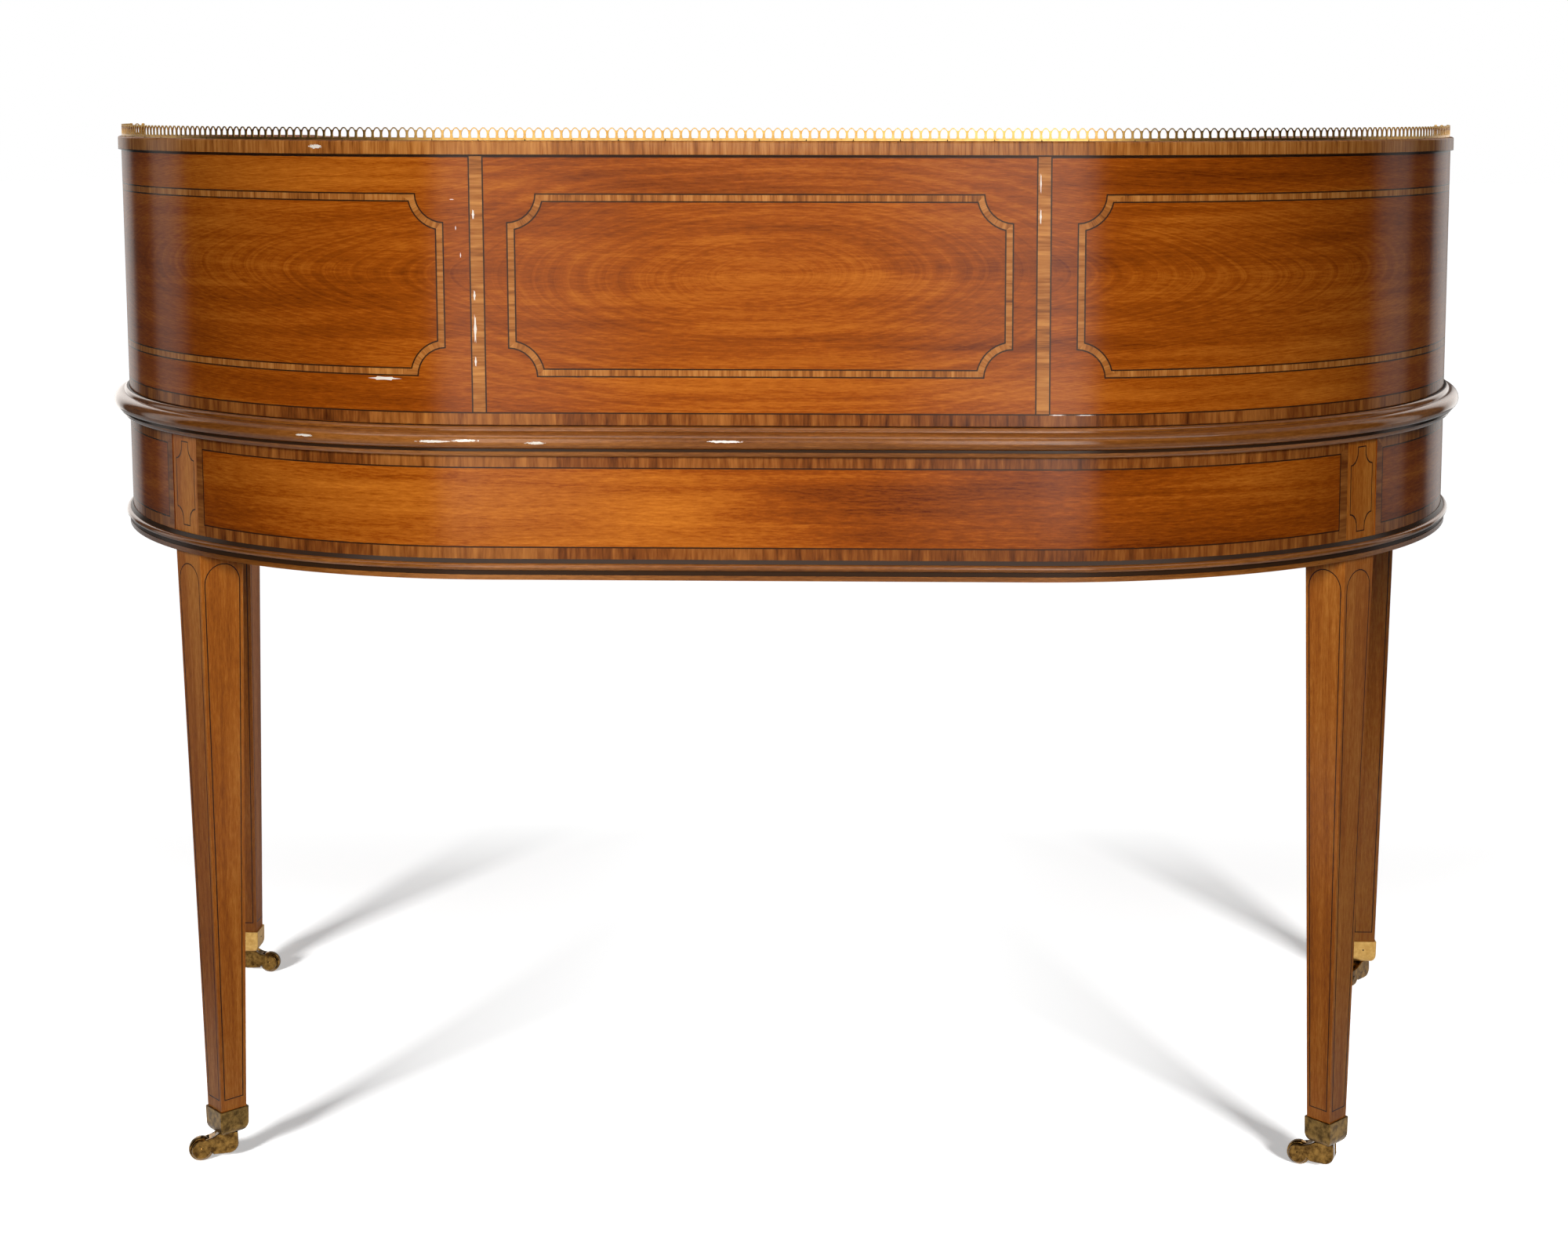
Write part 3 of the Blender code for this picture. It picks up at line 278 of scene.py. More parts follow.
def cartouche(left, right, low, high, radius, inset=0.0, steps=8):
    """Rectangle with hollow quarter-round corners, moved inwards by the inset."""
    reach = radius + inset
    trim = math.asin(inset / reach)
    outline = []
    for turn, (x, y) in enumerate(((left, low), (right, low), (right, high), (left, high))):
        start, end = (turn + 1) * math.pi / 2 - trim, turn * math.pi / 2 + trim
        for step in range(steps + 1):
            angle = start + (end - start) * step / steps
            outline.append((x + reach * math.cos(angle), y + reach * math.sin(angle)))
    return outline


def shrunk(outline, inset):
    """Polygon with every side moved inwards; the outline runs anticlockwise."""
    moved = []
    for i, here in enumerate(map(Vector, outline)):
        before = (here - Vector(outline[i - 1])).normalized()
        after = (Vector(outline[(i + 1) % len(outline)]) - here).normalized()
        inward = Vector((-before.y, before.x)) + Vector((-after.y, after.x))
        moved.append(tuple(here + inward * inset / (1 + before.dot(after))))
    return moved


def framed(left, right, low, high, radius=0.0):
    """Grain of a band round a panel: across the band on every side and fanned at the corners."""
    def grain(u, v, middle):
        for x, y in ((left, low), (right, low), (right, high), (left, high)):
            away = math.hypot(middle[0] - x, middle[1] - y)
            if radius and away < radius * 1.4:
                return (math.atan2(v - y, u - x) * radius, math.hypot(v - y, u - x))
        near_side = min(abs(middle[0] - left), abs(middle[0] - right))
        near_end = min(abs(middle[1] - low), abs(middle[1] - high))
        return (v, u) if near_side < near_end else (u, v)
    return grain


def banding(outline_at, width, line, grain, field, field_grain=along):
    """Regions of a crossband with a dark line at both sides, and the field inside it."""
    return [(outline_at(0.0), "stringing", along), (outline_at(line), "crossband", grain),
            (outline_at(width - line), "stringing", along), (outline_at(width), field, field_grain)]


def panel(edges, radius, field, field_grain=along, band=BAND):
    """Regions of a panel with hollow corners and a crossband round it."""
    return banding(lambda inset: cartouche(*edges, radius, inset), band, STRING, framed(*edges, radius),
                   field, field_grain)


print("a hollow corner has", len(cartouche(0, 1, 0, 1, 0.1)) // 4, "points")

# %% [markdown]
# ## Finishes
# A material is a small recipe of nodes. Wood is made from stretched noise: slow along the grain
# and quick across it. The pieces made here carry their own grain coordinates, in metres, so the
# figure follows the veneer round the curve. A solid kept from the frame reads its own object
# coordinates instead.

# %% Helpers that build node trees
def tint(red, green, blue):
    """Colour as seen on a screen, turned into the linear light that shaders use."""
    shares = [value / 255 for value in (red, green, blue)]
    linear = [share / 12.92 if share < 0.04045 else ((share + 0.055) / 1.055) ** 2.4 for share in shares]
    return (*linear, 1.0)


class Tree:
    """Adds nodes to a tree; an input takes a plain value or the output of another node."""

    def __init__(self, tree):
        self.tree = tree

    def join(self, value, socket):
        if isinstance(value, bpy.types.NodeSocket):
            self.tree.links.new(value, socket)
        elif value is not None:
            socket.default_value = value

    def node(self, kind, *values, named=None, **settings):
        """New node with inputs by position or name; gives back its outputs."""
        made = self.tree.nodes.new(kind)
        for key, value in settings.items():
            setattr(made, key, value)
        for socket, value in zip(made.inputs, values):
            self.join(value, socket)
        for key, value in (named or {}).items():
            self.join(value, made.inputs[key])
        return made.outputs

    def sums(self, operation, a, b=0.0):
        return self.node("ShaderNodeMath", a, b, operation=operation)[0]

    def weighted(self, *pairs):
        """Sum of values, each times its weight."""
        first, *others = [self.sums("MULTIPLY", value, weight) for value, weight in pairs]
        for other in others:
            first = self.sums("ADD", first, other)
        return first

    def seen(self, mirrored_share=0.45):
        """One where a camera ray or a ray through glass arrives, and less where polish mirrors."""
        rays = self.node("ShaderNodeLightPath")
        mirror = self.sums("MULTIPLY", rays["Is Glossy Ray"], mirrored_share)
        seen = self.sums("MAXIMUM", rays["Is Camera Ray"], mirror)
        return self.sums("MAXIMUM", seen, rays["Is Transmission Ray"])


class Recipe(Tree):
    """One material, built node by node."""

    def __init__(self, name, **plain):
        self.material = bpy.data.materials.new(name)
        self.material.use_nodes = True
        super().__init__(self.material.node_tree)
        self.shader = self.tree.nodes["Principled BSDF"].inputs
        for key, value in plain.items():
            self.shader[key.replace("_", " ").title().replace("Ior", "IOR")].default_value = value
        FINISHES[name] = self.material

    def noise(self, vector, detail=2.0, roughness=0.5, bend=0.0):
        shape = {"Scale": 1.0, "Detail": detail, "Roughness": roughness, "Distortion": bend}
        return self.node("ShaderNodeTexNoise", vector, named=shape)["Fac"]

    def scaled(self, vector, x, y, z=1.0):
        return self.node("ShaderNodeVectorMath", vector, (x, y, z), operation="MULTIPLY")[0]

    def split(self, vector):
        return self.node("ShaderNodeSeparateXYZ", vector)

    def ramp(self, value, *stops):
        band = self.node("ShaderNodeValToRGB", value)[0]
        elements = band.node.color_ramp.elements
        while len(elements) < len(stops):
            elements.new(0.5)
        for element, (place, colour) in zip(elements, stops):
            element.position, element.color = place, colour
        return band

    def mixed(self, share, a, b):
        made = self.node("ShaderNodeMix", share, data_type="RGBA")
        for index, value in ((6, a), (7, b)):
            self.join(value, made[2].node.inputs[index])
        return made[2]

    def grain(self, axes=None):
        """Grain coordinates: the piece's own map, or object axes in the order along, across, through."""
        if axes is None:
            return self.node("ShaderNodeUVMap", uv_map="grain")[0]
        split = self.split(self.node("ShaderNodeTexCoord")["Object"])
        return self.node("ShaderNodeCombineXYZ", *[split["XYZ".index(axis)] for axis in axes])[0]

    def colour(self, value):
        self.join(value, self.shader["Base Color"])

    def relief(self, height, strength, distance):
        given = {"Strength": strength, "Distance": distance, "Height": height}
        self.join(self.node("ShaderNodeBump", named=given)[0], self.shader["Normal"])


print("mid grey on a screen is", round(tint(128, 128, 128)[0], 3), "in linear light")

# %% [markdown]
# Satinwood is orange brown under french polish. Three things show in it: slow bands of tone,
# fine fibres, and the rings of the tree where the veneer was cut flat. On the curved back the
# two halves are bookmatched: one leaf opened like a book, so the rings mirror each other on the
# middle line. Taking the positive value of the way round gives that mirror at once.

# %% Satinwood
POLISH = dict(roughness=0.50, specular_ior_level=0.0, coat_weight=0.30, coat_roughness=0.15)
SATIN = (tint(84, 31, 3), tint(140, 66, 9), tint(188, 108, 30))
LEG_SATIN = (tint(112, 54, 12), tint(168, 92, 24), tint(206, 132, 52))
MOULDING = dict(tones=(tint(80, 41, 12), tint(124, 72, 26), tint(164, 104, 48)), coat_weight=0.8,
                coat_roughness=0.10)
PANEL_MIDDLE_Z, OVAL_HALF = 0.888, 0.2515


def satinwood(name, axes=None, figure=None, tones=SATIN, **polish):
    """Polished wood; figure adds rings, as a function that gives their field."""
    wood = Recipe(name, **{**POLISH, **polish})
    grain = wood.grain(axes)
    slow = wood.noise(wood.scaled(grain, 1.8, 12, 12), 3.0, 0.55, 0.6)
    streak = wood.noise(wood.scaled(grain, 3.5, 90, 90), 4.0, 0.62, 0.8)
    fibre = wood.noise(wood.scaled(grain, 70, 560, 560), 3.0, 0.75)
    tone = wood.weighted((slow, 0.42), (streak, 0.26), (fibre, 0.32))
    if figure:
        tone = wood.weighted((tone, 0.81), (figure(wood, grain), 0.19))
    wood.colour(wood.ramp(tone, *zip((0.36, 0.50, 0.65), tones)))
    wood.relief(fibre, 0.12, 0.0004)
    return wood


def bookmatch(wood, grain):
    """Oval rings on the middle line and pointed arches on the curved sides."""
    way, height, _ = wood.split(grain)
    far = wood.sums("ABSOLUTE", way)
    drift = wood.sums("SUBTRACT", wood.noise(wood.scaled(grain, 3.0, 9.0)), 0.5)
    rise = wood.sums("ADD", wood.sums("SUBTRACT", height, PANEL_MIDDLE_Z), wood.sums("MULTIPLY", drift, 0.03))
    square = wood.sums("MULTIPLY", rise, rise)
    wide = wood.sums("MULTIPLY", far, 0.30)
    oval = wood.sums("SQRT", wood.sums("ADD", square, wood.sums("MULTIPLY", wide, wide)))
    arch = wood.weighted((far, 0.55), (square, 34.0))
    side = wood.sums("GREATER_THAN", far, OVAL_HALF)
    field = wood.weighted((oval, wood.sums("SUBTRACT", 1.0, side)), (arch, side))
    rings = {"W": wood.sums("MULTIPLY", field, 150.0), "Scale": 1.0, "Detail": 5.0, "Roughness": 0.78}
    return wood.node("ShaderNodeTexNoise", named=rings, noise_dimensions="1D")["Fac"]


satinwood("satinwood_panel", figure=bookmatch)
satinwood("satinwood")
satinwood("satinwood_leg", tones=LEG_SATIN)
satinwood("moulding", **MOULDING)
for axis, axes in (("x", "XZY"), ("y", "YZX")):
    satinwood("satinwood_" + axis, axes)
print("wood finishes:", ", ".join(FINISHES))

# %% [markdown]
# The crossbands are strips of tulipwood laid with the grain across the strip, in lengths of a
# hand or so. Each length has its own tone and the dark pores run as short lines over the band.
# The dark lines beside them are ebonised stringing, a plain colour that needs no pattern. The same
# dark colour is also painted shade in the fillets of the mouldings, along the foot of the top board's
# edges and in the keyholes. Where the polish has gone, `wear` lets pale bare ground show in ragged ovals.

# %% Bands, lines and worn places
BARE = tint(222, 212, 198)
RAGGEDNESS, WEAR_LIMIT = 2.6, 1.75
BANDING = (tint(86, 42, 16), tint(146, 86, 34), tint(188, 126, 62))
DARK_BANDING = (tint(58, 24, 8), tint(116, 62, 22), tint(164, 102, 44))


def wear(wood, spots):
    """Bare ground in ragged ovals: (along, across, half its length, half its width), in metres."""
    grain = wood.grain()
    ragged = wood.sums("MULTIPLY", wood.noise(wood.scaled(grain, 240, 700), 5.0, 0.8), RAGGEDNESS)
    split = wood.split(grain)
    shown = wood.shader["Base Color"].links[0].from_socket
    for *centre, half_length, half_width in spots:
        squares = []
        for place, middle, half in zip(split, centre, (half_length, half_width)):
            share = wood.sums("DIVIDE", wood.sums("SUBTRACT", place, middle), half)
            squares.append(wood.sums("MULTIPLY", share, share))
        reach = wood.sums("ADD", wood.sums("ADD", *squares), ragged)
        shown = wood.mixed(wood.sums("LESS_THAN", reach, WEAR_LIMIT), shown, BARE)
    wood.colour(shown)


def crossband(name, tones, quick, patch=0.10):
    """Band of short lengths; quick is how fine its pores are, patch how much the lengths differ."""
    wood = Recipe(name, **POLISH)
    grain = wood.grain()
    lengths = {"W": wood.sums("MULTIPLY", wood.split(grain)[0], 11.0), "Scale": 1.0}
    cell = wood.split(wood.node("ShaderNodeTexVoronoi", named=lengths, voronoi_dimensions="1D")["Color"])[0]
    pores = wood.noise(wood.scaled(grain, quick, 14.0), 4.0, 0.65, 0.2)
    fine = wood.noise(wood.scaled(grain, quick * 4, 30.0))
    tone = wood.weighted((cell, patch), (pores, 0.84 - patch), (fine, 0.16))
    wood.colour(wood.ramp(tone, *zip((0.30, 0.46, 0.68), tones)))
    return wood


crossband("crossband", BANDING, 190.0)
edge_band = crossband("crossband_edge", BANDING, 190.0)
wear(edge_band, [(0.400, 0.0075, 0.009, 0.0026)])
crossband("crossband_dark", DARK_BANDING, 110.0, 0.14)
# the same dark colour serves the inlaid lines and painted shade in fillets, under the board's edges and in
# keyholes
Recipe("stringing", base_color=tint(48, 30, 16), **POLISH)
Recipe("bare_ground", base_color=BARE, roughness=0.8)
satinwood("lining", "XZY", tones=(tint(126, 84, 48), tint(158, 112, 68), tint(182, 138, 92)),
          roughness=0.6, coat_weight=0.0)
leather = Recipe("leather", roughness=0.46, specular_ior_level=0.4)
hide, patches = [leather.noise(leather.scaled(leather.grain("XYZ"), *[scale] * 3), 3.0, 0.6)
                 for scale in (420, 9)]
leather.colour(leather.ramp(patches, (0.3, tint(20, 52, 34)), (0.7, tint(38, 78, 52))))
leather.relief(hide, 0.25, 0.0003)
print(len(FINISHES), "finishes so far")

# %% [markdown]
# Brass that is handled stays bright, and brass near the floor goes brown. One recipe gives both:
# a noise mixes the bright metal with its patina, and the share of each is the only difference.

# %% Brass
def brass(name, bright, dull, low, high, roughness):
    metal = Recipe(name, metallic=1.0, roughness=roughness)
    cloud = metal.noise(metal.scaled(metal.grain("XYZ"), 160, 160, 160), 4.0, 0.65)
    metal.colour(metal.ramp(cloud, (low, dull), (high, bright)))


brass("brass", tint(214, 174, 104), tint(188, 144, 76), 0.35, 0.65, 0.36)
brass("brass_aged", tint(128, 100, 54), tint(74, 56, 30), 0.38, 0.62, 0.36)
brass("brass_worn", tint(140, 106, 54), tint(70, 48, 22), 0.36, 0.64, 0.13)
Recipe("gilt", base_color=tint(206, 166, 88), metallic=1.0, roughness=0.35)
print("metal finishes:", ", ".join(list(FINISHES)[-4:]))

# %% [markdown]
# ## The curved wall of the superstructure
# One veneered wall runs round the whole desk and comes down in sloping arms. The drawing has a
# crossband along its foot, two upright pilaster strips that part the middle from the sides, and
# a banded panel with hollow corners on each part. All of it is cut in one sheet, 14 mm thick.

# %% Outline of the wall
WALL_LOW, WALL_HIGH = (corner.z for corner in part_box("superstructure_wall"))
ARM_FRONT_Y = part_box("superstructure_wall")[0].y
ARM_WAY = FLANK + CENTRE_Y - ARM_FRONT_Y
WALL_THICKNESS = 0.014
HIGH_Y, SWEEP_RUN, SWEEP_DROP = -0.052, 0.040, 0.0527
NOSE_Y, NOSE_Z = HIGH_Y - SWEEP_RUN, WALL_HIGH - SWEEP_DROP
SLOPE_END_Y, ARM_Z = -0.297, 0.838


def wall_top(way):
    """Height of the wall's top edge at a way round the rim."""
    y = rim(way)[0].y
    if y >= HIGH_Y:
        return WALL_HIGH
    if y >= NOSE_Y:
        return WALL_HIGH - SWEEP_DROP * math.sin(math.acos(1 - (HIGH_Y - y) / SWEEP_RUN))
    return ARM_Z + (NOSE_Z - ARM_Z) * max(0.0, y - SLOPE_END_Y) / (NOSE_Y - SLOPE_END_Y)


def way_at(y):
    """Way round the rim, on the right, where the outer face reaches a depth y."""
    if y < CENTRE_Y:
        return FLANK + CENTRE_Y - y
    return STRAIGHT_HALF + CORNER_RADIUS * math.acos((y - CENTRE_Y) / CORNER_RADIUS)


def wall_outline():
    """Flat outline of the wall: its foot, then its top edge from right to left."""
    depths = [ARM_FRONT_Y, SLOPE_END_Y]
    depths += [HIGH_Y - SWEEP_RUN * (1 - math.cos(math.radians(a))) for a in range(90, -1, -9)]
    top = mirrored([(way_at(y), wall_top(way_at(y) - 1e-9)) for y in depths])
    return [(-ARM_WAY, WALL_LOW), (ARM_WAY, WALL_LOW)] + top


print("the wall's drawing is", round(2 * ARM_WAY, 3), "m long with", len(wall_outline()), "corners")

# %% [markdown]
# The panels are drawn over the outline. Small patches of bare ground lie over all the rest:
# places where the photo shows that polish and line have come off.

# %% The wall's drawing
FOOT_BAND, HOLLOW = 0.010, 0.0255
PILASTER, PANEL_HALF, SIDE_PANEL = (0.246, 0.257), 0.225, (0.281, 0.866)
PANEL_LOW, PANEL_HIGH = 0.7961, 0.9599
ARM_PANEL = [(0.889, PANEL_LOW), (1.152, PANEL_LOW), (1.152, 0.8175), (1.136, 0.8175), (0.961, 0.9045),
             (0.889, 0.9400)]
RAGGED = (1.0, 0.62, 0.84, 0.55, 0.9, 0.6, 1.0, 0.52, 0.78, 0.58, 0.94, 0.66)
# way, height, length and width of each worn place
WORN = [(0.2541, 0.9410, 0.0024, 0.0115), (0.2541, 0.8690, 0.0022, 0.0120),
        (0.2540, 0.8390, 0.0028, 0.0330), (0.2541, 0.8100, 0.0020, 0.0120),
        (0.3390, 0.7936, 0.0330, 0.0042), (0.2731, 0.9543, 0.0050, 0.0010),
        (0.2660, 0.9049, 0.0010, 0.0060), (0.2700, 0.9290, 0.0012, 0.0050),
        (-0.2482, 0.9690, 0.0016, 0.0230), (-0.2483, 0.9400, 0.0018, 0.0180),
        (-0.2650, 0.7636, 0.0160, 0.0014), (-0.2900, 0.7634, 0.0200, 0.0011)]


def arm_grain(u, v, middle):
    """Across the band on the two upright sides of an arm's panel and on the long ones."""
    near = min(abs(abs(middle[0]) - way) for way in (ARM_PANEL[0][0], ARM_PANEL[1][0]))
    return (v, u) if near < BAND else (u, v)


def worn_spot(way, height, length, width):
    """Small ragged outline where polish and line have worn off."""
    turns = [k * math.pi / 6 for k in range(len(RAGGED))]
    return [(way + length / 2 * RAGGED[k] * math.cos(turn), height + width / 2 * RAGGED[-k] * math.sin(turn))
            for k, turn in enumerate(turns)]


def wall_regions():
    foot = WALL_LOW + FOOT_BAND
    regions = [(wall_outline(), "satinwood_panel", along),
               (rectangle(-ARM_WAY, ARM_WAY, WALL_LOW, foot + STRING), "stringing", along),
               (rectangle(-ARM_WAY, ARM_WAY, WALL_LOW, foot), "crossband_dark", along),
               (rectangle(-SIDE_PANEL[1], SIDE_PANEL[1], WALL_HIGH - STRING, WALL_HIGH), "stringing", along)]
    for side in (-1, 1):
        left, right = sorted(side * way for way in PILASTER)
        regions += [(rectangle(left - STRING, right + STRING, foot + STRING, WALL_HIGH), "stringing", along),
                    (rectangle(left, right, foot + STRING, WALL_HIGH), "crossband", upright)]
        left, right = sorted(side * way for way in SIDE_PANEL)
        regions += panel((left, right, PANEL_LOW, PANEL_HIGH), HOLLOW, "satinwood_panel")
        arm = ARM_PANEL if side > 0 else [(-way, z) for way, z in reversed(ARM_PANEL)]
        regions += banding(lambda inset: shrunk(arm, inset), BAND, STRING, arm_grain, "satinwood_panel")
    regions += panel((-PANEL_HALF, PANEL_HALF, PANEL_LOW, PANEL_HIGH), HOLLOW, "satinwood_panel")
    return regions + [(worn_spot(*place), "bare_ground", along) for place in WORN]


def wall_lay(way, height, depth):
    spot, look = rim(way, -depth)
    return spot + UP * height, look


bench = Bench()
inlay(bench, wall_regions(), wall_lay, WALL_THICKNESS, bends(-ARM_WAY, ARM_WAY), "satinwood")
bench.piece("superstructure_veneers", "desk", "superstructure_wall")

# %% [markdown]
# ## The frieze
# Below the table top the carcase shows three curved panels between the legs. Each has a
# crossband on all four sides with a thin dark line inside it. The panels are drawn as the wall
# was, and their ends follow the sides of the legs, so the inner skin is a little shorter.

# %% Frieze panels
CARCASE_Z, FRIEZE_TOP = (corner.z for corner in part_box("back_frieze"))
LOWER_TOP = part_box("lower_moulding")[1].z
RAIL_THICKNESS, LEG_WIDTH, GAP = 0.022, 0.046, 0.0003
LEG_ANGLE = math.pi / 4


def leg_edge(side, depth):
    """Angle on the bend where the side of a rear leg meets the rail, at a depth in it."""
    return LEG_ANGLE + side * math.asin((LEG_WIDTH / 2 + GAP) / (CORNER_RADIUS - depth))


def frieze_lay(way, height, depth):
    """Place on the back rail, squeezed so that both skins end at the legs."""
    bent = abs(way) - STRAIGHT_HALF
    if 0 < bent < LEG_ANGLE * CORNER_RADIUS:
        bent *= leg_edge(-1, depth) / leg_edge(-1, 0)
    elif 0 < bent < BEND:
        squeeze = (math.pi / 2 - leg_edge(1, depth)) / (math.pi / 2 - leg_edge(1, 0))
        bent = BEND - (BEND - bent) * squeeze
    return wall_lay(math.copysign(STRAIGHT_HALF + bent, way), height, depth)


def frieze(name, left, right):
    edges = (left, right, LOWER_TOP, FRIEZE_TOP)
    regions = [(rectangle(left, right, CARCASE_Z, FRIEZE_TOP), "crossband_dark", framed(*edges)),
               (rectangle(*edges, FOOT_BAND), "stringing", along),
               (rectangle(*edges, FOOT_BAND + STRING), "satinwood", along)]
    bench = Bench()
    inlay(bench, regions, frieze_lay, RAIL_THICKNESS, bends(left, right), "satinwood")
    bench.piece(name + "_veneers", "desk", name)


back_end, side_start = (STRAIGHT_HALF + leg_edge(side, 0) * CORNER_RADIUS for side in (-1, 1))
side_end = way_at(FRONT_Y + LEG_WIDTH + GAP)
frieze("back_frieze", -back_end, back_end)
frieze("right_frieze", side_start, side_end)
frieze("left_frieze", -side_end, -side_start)

# %% [markdown]
# ## Mouldings and the top board
# A moulding is one outline carried along a path. Spinning or a curve bevel could do it, but the
# front corners need true mitres, so the rings are built by hand: every corner of the outline
# knows its way out from the rim, and every station of the path knows its own direction.

# %% Carrying an outline along a path
def outline_looks(outline, closed, crease=38):
    """Directions at both ends of each side of an outline, smooth where it turns less than the crease."""
    count = len(outline)
    sides = count if closed else count - 1
    flat = []
    for k in range(sides):
        (x0, z0), (x1, z1) = outline[k], outline[(k + 1) % count]
        flat.append(Vector((z1 - z0, x0 - x1)).normalized())
    looks = []
    for k, own in enumerate(flat):
        pair = []
        for other in (k - 1, k + 1):
            near = flat[other % sides] if closed or 0 <= other < sides else own
            gentle = own.angle(near) < math.radians(crease)
            pair.append((own + near).normalized() if gentle else own)
        looks.append(pair)
    return looks


def runs_of(outline):
    """Distance along a closed outline to each of its corners, with its whole length last."""
    steps = [math.dist(a, b) for a, b in zip(outline, outline[1:] + outline[:1])]
    return [0.0, *np.cumsum(steps).tolist()]


def tilted(look, tilt):
    return (look * tilt.x + UP * tilt.y).normalized()


def ring(bench, outline, finish_at):
    """Closed moulding round the whole D, mitred at the two front corners."""
    looks, runs = outline_looks(outline, True), runs_of(outline)
    stations = []
    for way in whole_round(FRONT_Y):
        spot, look = rim(way)
        travelled = stations[-1][3] + (spot - stations[-1][0]).length if stations else 0.0
        stations.append((spot, look, look, travelled))
    for end in (0, -1):
        spot, look, _, travelled = stations[end]
        stations[end] = (spot, Vector((look.x, -1, 0)), look, travelled)
    first, last = stations[0], stations[-1]
    stations += [(*last[:2], TOWARDS_SITTER, last[3]),
                 (*first[:2], TOWARDS_SITTER, last[3] + (first[0] - last[0]).length)]

    def corner(station, k, end):
        spot, mitre, look, travelled = station
        out, z = outline[(k + end) % len(outline)]
        return spot + UP * z + mitre * out, tilted(look, looks[k][end]), (travelled, runs[k + end])

    bench.loft(stations, range(len(outline)), corner, finish_at)


print("a full ring has", len(whole_round(FRONT_Y)), "stations")

# %% [markdown]
# Each outline starts at the wall, runs along its underside and comes back over its top. `swell`
# makes the bead and `quarter` the coves and ovolos. A few short sides are dark: painted shade in the
# fillets and where each moulding meets the wood above it, and five worn places lie along the bead of the
# waist.

# %% The outlines of the two mouldings
def swell(start, end, reach, steps):
    """Round from start to end that swells out to the reach; the start is left out."""
    bulge = reach - (start[0] + end[0]) / 2
    shares = [step / steps for step in range(1, steps + 1)]
    return [(start[0] + share * (end[0] - start[0]) + bulge * math.sin(math.pi * share),
             start[1] + (1 - math.cos(math.pi * share)) / 2 * (end[1] - start[1])) for share in shares]


def quarter(start, end, steps, hollow=False):
    """Quarter-round between two corners; the start is left out."""
    points = []
    for step in range(1, steps + 1):
        turn = math.pi / 2 * step / steps
        across, rise = 1 - math.cos(turn), math.sin(turn)
        if hollow:
            across, rise = rise, across
        points.append((start[0] + across * (end[0] - start[0]), start[1] + rise * (end[1] - start[1])))
    return points


TABLE_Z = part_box("table_top")[1].z
waist = [(GAP, FRIEZE_TOP), (0.0035, FRIEZE_TOP), *quarter((0.0035, FRIEZE_TOP), (0.008, 0.7305), 6, True),
         (0.0095, 0.7305), (0.0095, 0.733), *swell((0.0095, 0.733), (0.0055, 0.7485), 0.015, 16),
         *quarter((0.0055, 0.7485), (GAP, TABLE_Z), 6)]
lower = [(GAP, CARCASE_Z), (0.0035, CARCASE_Z), (0.0035, 0.6175), (0.0028, 0.6175), (0.0028, 0.6215),
         *swell((0.0028, 0.6215), (0.003, 0.628), 0.0065, 10), (GAP, LOWER_TOP)]
CROWN_OF_BEAD, MOULDING_START = 17, FLANK + CENTRE_Y - FRONT_Y
bead = runs_of(waist)[CROWN_OF_BEAD]
# way round the rim, drop below the crown of the bead and half the length of each worn place
BARE_HALF_WIDTH = 0.0016
BARE_PLACES = ((0.413, 0.0, 0.012), (0.291, 0.001, 0.020), (0.262, 0.0, 0.016), (0.200, 0.002, 0.012),
               (0.031, 0.0, 0.021))
wear(satinwood("moulding_worn", **MOULDING),
     [(MOULDING_START - way, bead - drop, half, BARE_HALF_WIDTH) for way, drop, half in BARE_PLACES])
# the sides in the last column are painted shade: dark in the fillets and where each moulding meets the wood
# above it
for name, outline, finish, dark in (("waist_moulding", waist, "moulding_worn", (8, 29, 30)),
                                    ("lower_moulding", lower, "moulding", (3, 14))):
    bench = Bench()
    ring(bench, outline, lambda k: "stringing" if k in dark else finish)
    bench.piece(name + "_polished", "desk", name)

# %% [markdown]
# The top board is a broad U. Its edge is crossbanded, with a dark strip along the foot of both edges
# that is painted shade under the board, and its upper face has a crossband along both edges, each with a
# fine line inside it. Here the outline is a closed section and the path is open; each corner of the
# section stops at the same depth, so the ends are cut square to the sides.

# %% The top board
BOARD_LOW, BOARD_HIGH = (corner.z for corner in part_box("top_board"))
BOARD_FRONT_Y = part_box("top_board")[0].y
BOARD_OUT, SUPER_DEPTH, ROUNDING = 0.003, 0.190, 0.0018
BOARD_IN = -SUPER_DEPTH - BOARD_OUT
UNDER_EDGE_SHADE, FACE_BAND, FACE_LINE = 0.0011, 0.016, 0.0172
BOARD_TURN, BOARD_STEPS = 1.4615, 44


